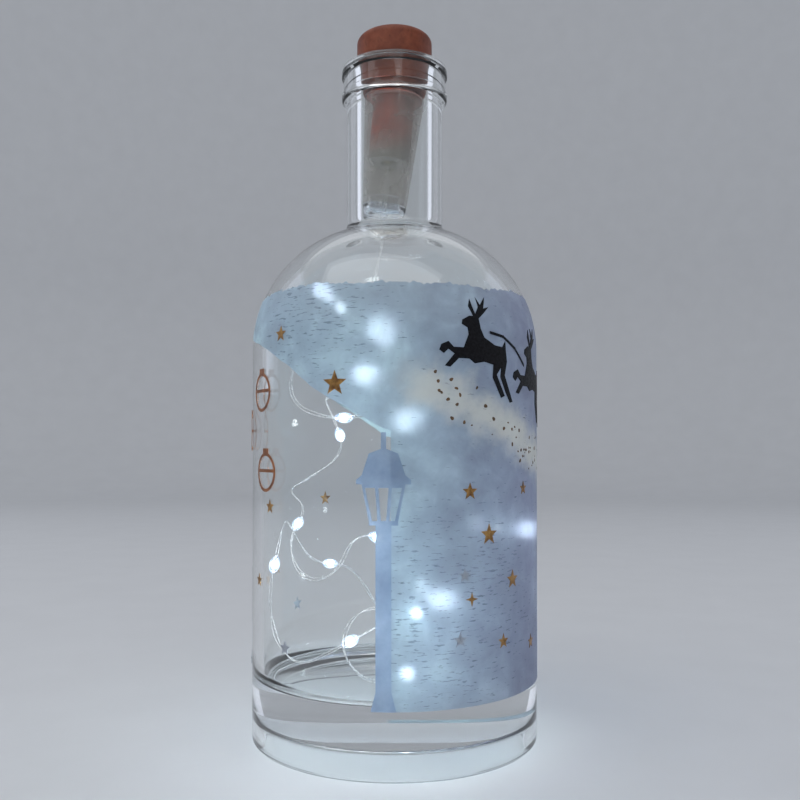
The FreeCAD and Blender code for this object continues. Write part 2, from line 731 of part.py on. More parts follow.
def make_board():
    """Round circuit board with its holes, chip, resistor and solder joints."""
    disc = rod("board_disc", "cap_bore_radius - fit_clearance", "board_thickness", "0", "0",
               "%s - board_thickness" % board_level)
    holes = []
    for k in (-1, 0, 1):
        holes.append(rod("board_hole_%d" % (k + 2), "pin_radius + fit_clearance",
                         "board_thickness + 2 * overrun",
                         "switch_travel / 2 + %d * pin_distance" % k, "0",
                         "%s - board_thickness - overrun" % board_level))
    node(cut("circuit_board", disc, fuse("board_holes", holes)), "circuit_board")
    node(block("controller_chip", "chip_length", "chip_width", "chip_height", "0",
               "-part_row", board_level), "controller_chip")
    node(block("resistor", "resistor_length", "resistor_width", "resistor_height", "0",
               "part_row", board_level), "resistor")
    joints = []
    for k in (-1, 0, 1):
        ball = add("Part::Sphere", "solder_ball_%d" % (k + 2), Radius="solder_radius")
        place(ball, "switch_travel / 2 + %d * pin_distance" % k, "0",
              "%s - board_thickness" % board_level)
        joints.append(ball)
    balls = fuse("solder_balls", joints)
    above = block("solder_top", "switch_length + overrun", "switch_width", "board_thickness",
                  "switch_travel / 2", "0", "%s - board_thickness" % board_level)
    pin_room = []
    for k in (-1, 0, 1):
        pin_room.append(rod("solder_room_%d" % (k + 2), "pin_radius", "pin_length + overrun",
                            "switch_travel / 2 + %d * pin_distance" % k, "0",
                            "%s - pin_length" % board_level))
    node(cut("solder_joints", balls, fuse("solder_cut", [above] + pin_room)), "solder_joints")


def corner_arc(before, corner, after, back):
    """Arc tangent to the two runs that meet at a corner, which starts and ends at a
    distance from it, with its start, its end and its radius."""
    inward = (corner - before).normalize()
    outward = (after - corner).normalize()
    turn = inward.getAngle(outward)
    bend = back / math.tan(turn / 2)
    start = corner - inward * back
    end = corner + outward * back
    middle = corner + (outward - inward).normalize() * (bend / math.cos(turn / 2) - bend)
    return Part.Arc(start, middle, end).toShape(), start, end, bend


def make_spring(name, height, turns, x, y, z, leaning):
    """Round-wire compression spring that stands on the given level. Its turns are equal
    arcs, each tangent to the next."""
    wire = value("spring_wire") / 2
    radius = value("spring_radius") - wire
    spring_rise = value(height) - 2 * wire
    arcs = 8 * turns
    step = 2 * math.pi * turns / arcs
    reach = radius / math.cos(step / 2)
    corners = [Vector(reach * math.cos(step * (k - 0.5)), reach * math.sin(step * (k - 0.5)),
                      wire + spring_rise * (k - 0.5) / arcs) for k in range(arcs + 2)]
    back = (corners[1] - corners[0]).Length / 2
    edges = [corner_arc(corners[k - 1], corners[k], corners[k + 1], back)[0]
             for k in range(1, arcs + 1)]
    section = Part.Wire(Part.makeCircle(wire, (corners[0] + corners[1]) / 2,
                                        corners[1] - corners[0]))
    coil = Part.Wire(edges).makePipeShell([section], True, False)
    spot = Vector(value(x), value(y), value(z))
    placement = FreeCAD.Placement(spot, FreeCAD.Rotation())
    if leaning:
        placement = stem_placement().multiply(placement)
    shaped(name, coil, placement)


def stem_placement():
    """Place of the leaning battery tube."""
    return FreeCAD.Placement(Vector(0, 0, value(stem_top)),
                             FreeCAD.Rotation(Vector(0, 1, 0), value("stem_lean")))


def leaning_body(name, loop):
    """Turned body in the leaning tube's frame."""
    return place(turned(name, loop), leaning=True)


def taper(level):
    """Outer radius of the sleeve at a level of its own frame."""
    return ("(sleeve_top_radius + (sleeve_top_radius - sleeve_bottom_radius) * (%s)"
            " / sleeve_length)" % level)


cradle_bottom = ("(cell_top - 3 * cell_height - 2 * cell_gap - negative_spring_height"
                 " - plate_thickness - cradle_floor)")
tube_end = "(-sleeve_length - end_cap_length)"


def make_sleeve():
    """Tapered translucent tube with the clear cap in its lower end."""
    loop = [
        ("sleeve_bottom_radius - sleeve_wall", "-sleeve_length"),
        ("sleeve_bottom_radius", "-sleeve_length"),
        ("sleeve_top_radius", "0"),
        ("sleeve_top_radius - sleeve_wall", "0"),
    ]
    node(leaning_body("battery_sleeve", loop), "battery_sleeve")
    spigot = taper("-sleeve_length + end_cap_spigot") + " - sleeve_wall - fit_clearance"
    spigot_foot = "sleeve_bottom_radius - sleeve_wall - fit_clearance"
    hollow = "(end_cap_bottom_radius - end_cap_wall)"
    floor = "(%s + end_cap_floor)" % tube_end
    loop = [
        ("gland_radius", tube_end),
        ("end_cap_bottom_radius - end_cap_round", tube_end),
        ("end_cap_bottom_radius", tube_end + " + end_cap_round",
         "end_cap_bottom_radius - end_cap_round", tube_end + " + end_cap_round", 1),
        ("sleeve_bottom_radius", "-sleeve_length"),
        (spigot_foot, "-sleeve_length"),
        (spigot, "-sleeve_length + end_cap_spigot"),
        (hollow, "-sleeve_length + end_cap_spigot"),
        (hollow, floor + " + end_cap_floor"),
        (hollow + " - end_cap_floor", floor, hollow + " - end_cap_floor",
         floor + " + end_cap_floor", -1),
        ("gland_radius", floor),
    ]
    node(leaning_body("end_cap", loop), "end_cap")


def make_cradle():
    """Cork-coloured cradle round the cells, with a flange on the sleeve and a
    slot for the side strip."""
    inside = "(cell_radius + cell_gap)"
    outside = "(%s + cradle_wall)" % inside
    loop = [
        ("cell_lid_radius / 2", cradle_bottom),
        (outside, cradle_bottom),
        (outside, "0"),
        ("cradle_flange_radius", "0"),
        ("cradle_flange_radius", "cradle_flange"),
        (outside, "cradle_flange"),
        (outside, "cradle_rise"),
        (inside, "cradle_rise"),
        (inside, cradle_bottom + " + cradle_floor"),
        ("cell_lid_radius / 2", cradle_bottom + " + cradle_floor"),
    ]
    cradle = turned("battery_cradle", loop)
    slot = rectangle("strip_width + 2 * cell_gap", "cradle_wall + strip_thickness", "0",
                     "%s + (cradle_wall + strip_thickness) / 2 - cell_gap / 2" % inside)
    pocket(cradle, "strip_slot", [slot], "cradle_rise", "cradle_rise - %s" % cradle_bottom)
    node(place(cradle, leaning=True), "battery_cradle")


def make_cells():
    """Three button cells, positive side up, each with a smaller negative lid."""
    for k in range(3):
        top = "(cell_top - %d * (cell_height + cell_gap))" % k
        bottom = "(%s - cell_height)" % top
        loop = [
            ("0", bottom),
            ("cell_lid_radius", bottom),
            ("cell_lid_radius", bottom + " + cell_lid_height"),
            ("cell_radius - cell_gap", bottom + " + cell_lid_height"),
            ("cell_radius", bottom + " + cell_lid_height + cell_gap"),
            ("cell_radius", top + " - cell_gap"),
            ("cell_radius - cell_gap", top),
            ("0", top),
        ]
        name = "button_cell_%d" % (k + 1)
        node(leaning_body(name, loop), name)


def make_contacts():
    """Springs, plate, side strip and finger that carry the current."""
    plate_level = "(%s + cradle_floor)" % cradle_bottom
    node(rod("negative_plate", "plate_radius", "plate_thickness", "0", "0", plate_level, True),
         "negative_plate")
    make_spring("negative_spring", "negative_spring_height - 3 * cell_gap", 3, "0", "0",
                "%s + plate_thickness + 2 * cell_gap" % plate_level, True)
    # the spring stands on the upper cell where the leaning stack is lowest under it
    cell_level = ("(%s + cell_top * cos(stem_lean * 1 deg)"
                  " + spring_radius * sin(stem_lean * 1 deg) + cell_gap)" % stem_top)
    make_spring("positive_spring", "%s - solder_radius - %s" % (board_bottom, cell_level), 5,
                "0", "0", cell_level, False)
    strip_across = "(cell_radius + cell_gap + strip_thickness)"
    node(block("side_strip", "strip_width", "strip_thickness",
               "cradle_rise + strip_drop - %s" % cradle_bottom, "0", strip_across,
               "%s - strip_drop" % cradle_bottom, True), "side_strip")
    strip_top = ("(%s + cradle_rise * cos(stem_lean * 1 deg)"
                 " + strip_width / 2 * sin(stem_lean * 1 deg))" % stem_top)
    node(block("contact_finger", "strip_width", "strip_thickness",
               "%s - %s - finger_gap" % (board_bottom, strip_top), "0", strip_across,
               "%s + finger_gap" % strip_top), "contact_finger")


def tube(points, radius):
    """Round tube along straight runs joined by tangent arcs, and its path."""
    runs = [(b - a).Length for a, b in zip(points, points[1:])]
    edges = []
    bends = []
    last = points[0]
    for k in range(1, len(points) - 1):
        arc, start, end, bend = corner_arc(points[k - 1], points[k], points[k + 1],
                                           arc_share * min(runs[k - 1], runs[k]))
        bends.append(bend)
        edges += [Part.LineSegment(last, start).toShape(), arc]
        last = end
    edges.append(Part.LineSegment(last, points[-1]).toShape())
    path = Part.Wire(edges)
    section = Part.Wire(Part.makeCircle(radius, points[0], points[1] - points[0]))
    shape = path.makePipeShell([section], True, True)
    return shape, path, bends


def make_tube(name, points, radius):
    """Tube node, with its volume held against its section times its length."""
    shape, path, bends = tube(points, radius)
    expected = math.pi * radius ** 2 * path.Length
    print("%s: length %.1f, volume share %.4f, least radius %.1f, radii %s" % (
        name, path.Length, shape.Volume / expected, min(bends),
        " ".join("%.1f" % bend for bend in bends)))
    shaped(name, shape)


def stem_point(x, y, z):
    """Point of the leaning tube's frame in the upright frame."""
    return stem_placement().multVec(Vector(value(x), value(y), value(z)))


def make_inner_leads():
    """Two leads inside the sleeve, from the contacts down to the gland."""
    floor = "(%s + end_cap_floor)" % tube_end
    start = "(%s - strip_drop - inner_lead_radius)" % cradle_bottom
    radius = value("inner_lead_radius")
    strip_across = "(cell_radius + cell_gap)"
    for name, across, sign in (("inner_lead_positive", strip_across + " - strip_width / 2", "+"),
                               ("inner_lead_negative", "-cell_lid_radius / 3", "-")):
        low = "(%s + inner_lead_drop)" % floor
        fall = "(%s - %s)" % (start, low)
        points = [
            stem_point("0", across, start),
            stem_point("0", across, "%s - %s / 5" % (start, fall)),
            stem_point("0", "(%s) * 3 / 5" % across, "%s - %s / 2" % (start, fall)),
            stem_point("%s inner_lead_distance" % sign, "0", "%s - %s * 4 / 5" % (start, fall)),
            stem_point("%s inner_lead_distance" % sign, "0", floor),
        ]
        make_tube(name, points, radius)


def make_gland():
    """Drop of glue that holds the wire in the end cap."""
    loop = [
        ("0", "%s - gland_out" % tube_end),
        ("gland_tip", "%s - gland_out" % tube_end),
        ("gland_radius - fit_clearance", tube_end),
        ("gland_radius - fit_clearance", "%s + end_cap_floor - fit_clearance" % tube_end),
        ("0", "%s + end_cap_floor - fit_clearance" % tube_end),
    ]
    node(leaning_body("wire_gland", loop), "wire_gland")


def make_string():
    """Lead, wire and lights. The two fine strands count as one round wire."""
    exit_level = "(%s - gland_out)" % tube_end
    lead = [stem_point("0", "0", exit_level),
            stem_point("0", "0", "%s - lead_straight" % exit_level)]
    lead += [Vector(*point) for point in lead_points]
    make_tube("string_lead", lead, value("wire_radius"))
    route = [Vector(*point) for point in string_points]
    make_tube("string_wire", route, value("wire_radius"))
    chips = []
    for k, run in enumerate(light_runs):
        name = "led_bead_%02d" % (k + 1)
        middle = (route[run] + route[run + 1]) / 2
        along = route[run + 1] - route[run]
        turn = FreeCAD.Rotation(Vector(0, 0, 1), along)
        drop = add("Part::Ellipsoid", name + "_drop", Radius1="bead_length / 2",
                   Radius2="bead_radius", Radius3="bead_radius")
        hole = rod(name + "_bore", "bead_bore_radius", "bead_length + overrun", "0", "0",
                   "-(bead_length + overrun) / 2")
        room = block(name + "_room", "led_height + 2 * led_gap", "led_width + 2 * led_gap",
                     "led_length + 2 * led_gap", "bead_bore_radius + led_height / 2", "0",
                     "-(led_length + 2 * led_gap) / 2")
        bead = cut(name, drop, fuse(name + "_space", [hole, room]))
        bead.Placement = FreeCAD.Placement(middle, turn)
        node(bead, name)
        chip = block(name + "_chip", "led_height", "led_width", "led_length",
                     "bead_bore_radius + led_height / 2", "0", "-led_length / 2")
        chips.append((chip, bead.Placement))
    document.recompute()
    solids = []
    for chip, placement in chips:
        shape = chip.Shape.copy()
        shape.Placement = placement.multiply(shape.Placement)
        solids.append(shape)
    shaped("led_chips", Part.Compound(solids))


make_bottle()
make_film()
print_shell = make_band("print_shell", "print_gap + film_thickness + print_lift",
                        "print_thickness", "film_bottom", "film_top")
make_lamp(print_shell)
make_stars("gold_stars", gold_star_shares, print_shell)
make_stars("grey_stars", grey_star_shares, print_shell)
make_deer(print_shell)
make_baubles(print_shell)
make_cap()
make_switch()
make_board()
make_sleeve()
make_cradle()
make_cells()
make_contacts()
make_inner_leads()
make_gland()
make_string()
document.recompute()

for item in document.Objects:
    if "Invalid" in item.State or "Error" in item.State:
        raise RuntimeError("%s is not made: %s" % (item.Label, item.State))
for item in nodes:
    if item.Shape.isNull() or not item.Shape.isValid() or not item.Shape.Solids:
        raise RuntimeError("%s has no sound shape" % item.Label)

os.makedirs("parts", exist_ok=True)
for item in nodes:
    item.Shape.exportStep(os.path.join("parts", item.Label + ".step"))
    box = item.Shape.BoundBox
    print("%-22s solids %2d volume %9.2f z %.2f to %.2f" % (
        item.Label, len(item.Shape.Solids), item.Shape.Volume, box.ZMin, box.ZMax))
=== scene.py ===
"""Look of the bottle light, in metres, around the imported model.

The glass, the film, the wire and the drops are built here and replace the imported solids.
All other nodes keep their solid and get a material."""

import json
import math
import random

import bpy
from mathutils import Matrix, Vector


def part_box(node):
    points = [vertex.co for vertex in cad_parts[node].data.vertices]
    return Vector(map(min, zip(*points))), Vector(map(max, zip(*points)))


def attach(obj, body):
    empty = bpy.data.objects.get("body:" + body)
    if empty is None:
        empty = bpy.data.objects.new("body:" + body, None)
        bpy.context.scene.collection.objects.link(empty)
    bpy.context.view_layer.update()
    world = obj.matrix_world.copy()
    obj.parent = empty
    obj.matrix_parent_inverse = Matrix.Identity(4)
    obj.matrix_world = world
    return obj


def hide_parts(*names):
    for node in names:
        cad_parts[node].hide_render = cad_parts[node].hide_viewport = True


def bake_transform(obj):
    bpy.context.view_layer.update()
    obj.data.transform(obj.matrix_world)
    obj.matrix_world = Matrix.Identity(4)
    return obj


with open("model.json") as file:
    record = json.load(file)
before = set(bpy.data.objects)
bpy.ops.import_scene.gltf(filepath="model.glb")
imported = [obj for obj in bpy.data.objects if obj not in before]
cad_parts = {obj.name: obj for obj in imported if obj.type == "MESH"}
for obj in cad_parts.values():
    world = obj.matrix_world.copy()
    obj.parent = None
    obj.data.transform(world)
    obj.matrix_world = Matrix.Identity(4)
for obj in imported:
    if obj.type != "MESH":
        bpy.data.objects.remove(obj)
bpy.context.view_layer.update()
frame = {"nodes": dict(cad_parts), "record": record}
nodes = frame["nodes"]

# Outline of the glass: radii and heights in metres
glass_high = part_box("bottle_glass")[1]
BODY_RADIUS = 0.044
BODY_WALL = 0.0033
FOOT_HEIGHT = 0.0076
FOOT_DOME = 0.0012
FOOT_INNER_RADIUS = 0.04
FOOT_INNER_ROUND = 0.0015
FOOT_EDGE_ROUND = 0.0005
HEEL_ROUND = 0.0012
INNER_HEEL = 0.004
FLOOR_HEIGHT = 0.019
WALL_HEIGHT = 0.118
SHOULDER_ACROSS = 0.005
NECK_RADIUS = 0.01495
NECK_FILLET = 0.004
BORE_RADIUS = 0.01075
COLLAR_RADIUS = 0.0166
COLLAR_HEIGHT = 0.0107
COLLAR_BEAD = 0.0026
COLLAR_WAIST = 0.0005
COLLAR_ROUND = 0.0011
LIP_ROUND = 0.0005
BOTTLE_HEIGHT = glass_high.z
COLUMNS = 256
# steps of the longer runs of the outline
ROOF_STEPS = 12
WALL_STEPS = 24
SHOULDER_STEPS = 40
NECK_STEPS = 8
BORE_STEPS = 12

# Frosted film on the glass
FILM_BOTTOM = 0.019
FILM_TOP = 0.1343
FILM_GAP = 0.00005
FILM_THICKNESS = 0.00008
FILM_NICK = 0.0004
FILM_COLUMNS = 800
FILM_ROWS = 48
WINDOW_EDGE = -0.001
# clear window: its upper edge across the front, as shares of body radius and wall height
HILL_SHARES = [(-0.985, 1.034), (-0.695, 0.949), (-0.515, 0.89), (-0.293, 0.839),
               (-0.198, 0.818), (-0.066, 0.79), (0.0, 0.785)]
# waves of the film's edges: turns round the bottle and share of each
SOFT_WAVES = ((3, 1.0), (7, 0.6), (17, 0.42), (31, 0.25), (47, 0.15))
NICKED_WAVES = ((3, 1.0), (7, 0.5), (13, 0.5), (29, 0.42), (53, 0.36), (83, 0.34), (127, 0.36),
                (151, 0.24))
HILL_WAVE = 0.0003
HILL_SEED = 5.1
TOP_SEED = 2.3
# length on the film that is 1 on its UV map
UV_METRE = 0.1
# places that are scratched most, on the UV map: centre, full strength to here, none from here
SCRATCHED = [((-0.24, 1.27), 0.1, 0.32), ((0.16, 0.44), 0.12, 0.4), ((1.1, 0.95), 0.15, 0.5),
             ((0.8, 0.35), 0.08, 0.34), ((-1.0, 1.22), 0.1, 0.3)]
SCRATCH_STRETCH = (1, 5.2, 1)
SCRATCH_CROWD = 0.085
SCRATCH_PATCHES = 0.16
SCRATCH_STOPS = [(0.738, 0.0), (0.785, 1.0)]
# film colours from the darkest smear to the lightest, on the left and on the right
FILM_STOPS = (0.37, 0.51, 0.65)
FILM_COLOURS = [(0.35, 0.4, 0.46), (0.435, 0.515, 0.57), (0.59, 0.71, 0.74)]
FILM_RIGHT_COLOURS = [(0.27, 0.285, 0.37), (0.325, 0.345, 0.44), (0.42, 0.45, 0.54)]
# the right colours come in over the first stretch of the UV map, and go over the second
RIGHT_RISE = (0.0, 0.45)
RIGHT_FADE = (1.3, 0.9)
# warm band under the deer, on the UV map
BAND_START = 1.085
BAND_SLOPE = -0.425
BAND_CENTRE = (0.33, 0.93)
BAND_REACH = (0.26, 0.4)
BAND_UNEVEN = 0.2
BAND_STOPS = [(0.1, 0.8), (0.205, 0.0)]
BAND_COLOUR = (0.70, 0.67, 0.60)
# what is left of a lamp's light behind the film
FILM_SHADE = (0.72, 0.76, 0.82)

# Dots on the band
DOT_COUNT = 46
DOT_TURNS = (0.2, 1.42)
DOT_SPREAD = 0.0036
DOT_RADIUS = 0.00062
DOT_SIZES = (0.45, 1.0)
DOT_SKEW = 1.4
DOT_SQUEEZE = (0.6, 1.0)
DOT_UNEVEN = (0.12, 0.08)
DOT_SIDES = 14
DOT_LIFT = 0.00001
DOT_THICKNESS = 0.00005

# Light string: wire, lights and the routes that the solids follow
STRAND_RADIUS = 0.00015
STRAND_OFFSET = 0.0003
STRAND_SIDES = 6
# the strands turn about each other once in this length, with a sway and a bulge
STRAND_TURN = 0.034
STRAND_SWAY = 0.9
SWAY_LENGTH = 0.011
STRAND_BULGE = 0.55
BULGE_LENGTH = 0.017
BULGE_OFFSET = 1.3
# at both ends they come together over this many points, to this share of the offset
END_POINTS = 6
END_SHARE = 0.45
LEAD_START = [(-0.003815, 0, 0.157783), (-0.004581, 0, 0.14982)]
LEAD_POINTS = [
    (-0.0075, 0.001, 0.138), (-0.0035, 0.0035, 0.129), (0.003, -0.0015, 0.123),
    (0.007, -0.0095, 0.1165), (0.0065, -0.016, 0.108), (-0.0005, -0.0205, 0.1025),
]
STRING_POINTS = [
    (-0.0005, -0.0205, 0.1025), (-0.0075, -0.025, 0.097), (-0.021, -0.024, 0.097),
    (-0.0305, -0.017, 0.1025), (-0.0295, -0.0155, 0.115), (-0.024, -0.0165, 0.13),
    (-0.0145, -0.0075, 0.1365), (-0.016, 0.0105, 0.1435), (-0.0095, 0.022, 0.134),
    (0.003, 0.0225, 0.119), (0.003, 0.03, 0.1075), (-0.008, 0.0275, 0.0995),
    (-0.0125, 0.0195, 0.107), (-0.003, 0.016, 0.1175), (0.01, 0.022, 0.1195),
    (0.014, 0.031, 0.1095), (0.0095, 0.034, 0.099), (-0.0025, 0.033, 0.0975),
    (-0.015, 0.0295, 0.1055), (-0.025, 0.02, 0.1065), (-0.0205, 0.013, 0.0985),
    (-0.0155, 0.007, 0.087), (-0.029, 0.009, 0.078), (-0.034, -0.001, 0.0755),
    (-0.026, -0.0095, 0.0705), (-0.0305, -0.0205, 0.0615), (-0.025, -0.029, 0.051),
    (-0.0155, -0.035, 0.0535), (-0.0105, -0.0345, 0.066), (0.0015, -0.0315, 0.0615),
    (0.014, -0.0305, 0.0595), (0.021, -0.0285, 0.05), (0.0115, -0.033, 0.041), (0, -0.035, 0.0455),
    (-0.0105, -0.034, 0.044), (-0.015, -0.0315, 0.0335), (-0.0095, -0.032, 0.025),
    (-0.0025, -0.031, 0.0235), (0.0095, -0.029, 0.0285), (0.0165, -0.026, 0.031),
    (0.017, -0.0215, 0.0375), (0.009, -0.022, 0.0405), (-0.001, -0.025, 0.04),
    (-0.007, -0.0275, 0.037), (-0.0175, -0.0285, 0.0315), (-0.0265, -0.023, 0.026),
    (-0.0335, -0.016, 0.03), (-0.037, -0.0105, 0.0385), (-0.037, -0.0115, 0.0475),
    (-0.035, -0.008, 0.059), (-0.036, 0.0065, 0.0665), (-0.0345, 0.018, 0.06),
    (-0.028, 0.018, 0.05), (-0.016, 0.022, 0.0495), (-0.011, 0.032, 0.041), (-0.005, 0.036, 0.03),
    (0.0065, 0.032, 0.034), (0.0175, 0.028, 0.042), (0.0275, 0.026, 0.0465),
    (0.0355, 0.0165, 0.0445), (0.0355, 0.0115, 0.057), (0.0325, 0.0085, 0.068),
]
# Each light sits at the middle of the run that starts at this point
LIGHT_RUNS = [1, 5, 8, 12, 16, 20, 24, 28, 32, 37, 43, 48, 52, 56, 60]
DROP_LENGTH = 0.0054
DROP_RADIUS = 0.0016
# share of the radius that leaves room for the unevenness, and the least at the ends
DROP_FILL = 0.97
DROP_END = 0.12
DROP_SWELL = 1.15
DROP_LEAN = 0.12
DROP_UNEVEN = (0.05, 0.03)
# lit heart of a drop, and the small lamp in it
CORE_LENGTH = 0.0025
CORE_RADIUS = 0.0007
CORE_UNEVEN = 0.12
GLOW_POWER = 0.0105
GLOW_COLOUR = (0.9, 0.96, 1.0)
GLOW_RADIUS = 0.0005

# Cork colour, from the darkest of the mottle to the lightest
CORK_TONES = [(0.3, (0.12, 0.026, 0.011)), (0.5, (0.18, 0.042, 0.018)),
              (0.72, (0.255, 0.07, 0.032))]
# Cradle in the tube: the cork colour fades out between these heights, and towards the right
CRADLE_FADE = (0.1795, 0.1865)
CRADLE_SIDE = (0.004, -0.002)
CRADLE_LEAST = 0.45
CRADLE_GREY = (0.36, 0.35, 0.335)

# Camera at the photograph's viewing angle
LENS = 38.9
SENSOR = 36
CAMERA_PLACE = (0, -0.2719, 0.08781)
CAMERA_PITCH = 0.923
SHIFT = (0.0069, 0.045)
CLIP = (0.01, 20)

# Soft lamps: name, place, size, power and colour
LAMP_AIM = (0, 0, 0.1)
LAMPS = [("left_light", (-0.95, 0.5, 0.55), (0.4, 0.8), 0.62, (0.82, 0.86, 1.0)),
         ("right_light", (0.95, 0.5, 0.55), (0.4, 0.8), 0.55, (0.82, 0.86, 1.0)),
         ("top_light", (-0.3, -0.75, 1.35), (2.2, 1.6), 12.8, (1, 1, 1))]
WORLD_COLOUR = (0.9, 0.94, 1.0, 1)
WORLD_STRENGTH = 0.6

# Floor and backdrop
STAGE_COLOUR = (0.6, 0.61, 0.63)
FLOOR_RADIUS = 1.3
FLOOR_SWEEP = 0.5
BACKDROP_HEIGHT = 1.6
STAGE_COLUMNS = 96


def make_camera():
    data = bpy.data.cameras.new("camera")
    data.lens, data.sensor_width = LENS, SENSOR
    data.shift_x, data.shift_y = SHIFT
    data.clip_start, data.clip_end = CLIP
    camera = bpy.data.objects.new("camera", data)
    camera.location = CAMERA_PLACE
    camera.rotation_euler = (math.radians(90 + CAMERA_PITCH), 0, 0)
    bpy.context.scene.collection.objects.link(camera)
    bpy.context.scene.camera = camera


def new_object(name, mesh):
    item = bpy.data.objects.new(name, mesh)
    bpy.context.scene.collection.objects.link(item)
    return item


def new_mesh(name, vertices, faces, sharp=30, flat=False):
    """Mesh object with smooth faces, and sharp edges where they turn further than this."""
    mesh = bpy.data.meshes.new(name)
    mesh.from_pydata(vertices, [], faces)
    mesh.validate()
    if not flat:
        mesh.polygons.foreach_set("use_smooth", [True] * len(mesh.polygons))
        mesh.set_sharp_from_angle(angle=math.radians(sharp))
    mesh.update()
    return new_object(name, mesh)


def dress(item, look):
    """Give a new piece of the bottle its material."""
    item.data.materials.append(look)
    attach(item, "bottle")
    return item


# Materials

def new_look(name):
    look = bpy.data.materials.new(name)
    look.use_nodes = True
    look.node_tree.nodes.clear()
    return look, look.node_tree


def add(tree, kind, inputs=None, **settings):
    """Add a node. An input is a number or colour, or another node's output."""
    node = tree.nodes.new(kind)
    for name, setting in settings.items():
        setattr(node, name, setting)
    for socket, entry in (inputs or {}).items():
        if isinstance(entry, bpy.types.NodeSocket):
            tree.links.new(entry, node.inputs[socket])
        else:
            node.inputs[socket].default_value = entry
    return node


def finish_look(tree, shader, lamps_through=None):
    """Connect the shader. With a colour, lamps also shine through the piece."""
    if lamps_through:
        path = add(tree, "ShaderNodeLightPath")
        clear = add(tree, "ShaderNodeBsdfTransparent", {"Color": (*lamps_through, 1)})
        shader = mix_shaders(tree, path.outputs["Is Shadow Ray"], shader, clear)
    output = add(tree, "ShaderNodeOutputMaterial")
    tree.links.new(shader.outputs[0], output.inputs["Surface"])


def places(tree, stretch=(1, 1, 1)):
    """Places on the piece in metres, stretched."""
    source = add(tree, "ShaderNodeTexCoord")
    mapping = add(tree, "ShaderNodeMapping", {"Vector": source.outputs["Object"], "Scale": stretch})
    return mapping.outputs["Vector"]


def noise(tree, scale, detail=3.0, rough=0.5, where=None, stretch=(1, 1, 1), distortion=0.0):
    where = where or places(tree, stretch)
    return add(tree, "ShaderNodeTexNoise", {"Vector": where, "Scale": scale, "Detail": detail,
                                            "Roughness": rough, "Distortion": distortion}
               ).outputs["Fac"]


def ramp(tree, factor, stops, smooth=False):
    """Colours or shades along a factor. A stop is (place, colour)."""
    node = add(tree, "ShaderNodeValToRGB", {"Fac": factor})
    if smooth:
        node.color_ramp.interpolation = "EASE"
    elements = node.color_ramp.elements
    while len(elements) < len(stops):
        elements.new(0.5)
    for element, (place, colour) in zip(elements, stops):
        element.position = place
        element.color = (colour, colour, colour, 1) if isinstance(colour, (int, float)) \
            else (*colour, 1)
    return node.outputs["Color"]


def math_node(tree, operation, first, second=0.0):
    """Output of one sum or comparison."""
    return add(tree, "ShaderNodeMath", {0: first, 1: second}, operation=operation).outputs[0]


def mix_colours(tree, factor, first, second, blend="MIX"):
    return add(tree, "ShaderNodeMix", {"Factor": factor, 6: first, 7: second},
               data_type="RGBA", blend_type=blend).outputs[2]


def mix_shaders(tree, factor, first, second):
    return add(tree, "ShaderNodeMixShader", {0: factor, 1: first.outputs[0],
                                             2: second.outputs[0]})


def rescale(tree, factor, limits, least=0.0):
    """The least value at the first limit and 1 at the second, and even between them."""
    return add(tree, "ShaderNodeMapRange", {"Value": factor, "From Min": limits[0],
                                            "From Max": limits[1], "To Min": least}
               ).outputs["Result"]


def bump(tree, height, strength, distance):
    return add(tree, "ShaderNodeBump", {"Height": height, "Strength": strength,
                                        "Distance": distance}).outputs["Normal"]


def glass_look(name, colour, roughness, ior, wave, wave_scale, through):
    """Clear glass, resin or plastic, with a slight wave in its surface."""
    look, tree = new_look(name)
    height = noise(tree, wave_scale, detail=2.0)
    shader = add(tree, "ShaderNodeBsdfPrincipled", {
        "Base Color": (*colour, 1), "Roughness": roughness, "IOR": ior,
        "Transmission Weight": 1.0, "Normal": bump(tree, height, wave, 0.0004)})
    finish_look(tree, shader, through)
    return look


def plain_look(name, colour, darker, roughness, scale, metallic=0.0, coat=0.0, specular=0.5):
    """Opaque plastic, metal or ink: a fine mottle in colour, gloss and surface."""
    look, tree = new_look(name)
    mottle = noise(tree, scale, detail=4.0, rough=0.6)
    colours = ramp(tree, mottle, [(0.3, darker), (0.7, colour)])
    gloss = ramp(tree, mottle, [(0.3, roughness * 1.25), (0.7, roughness * 0.8)])
    shader = add(tree, "ShaderNodeBsdfPrincipled", {
        "Base Color": colours, "Roughness": gloss, "Metallic": metallic, "Coat Weight": coat,
        "Specular IOR Level": specular, "Normal": bump(tree, mottle, 0.4, 0.00005)})
    finish_look(tree, shader)
    return look


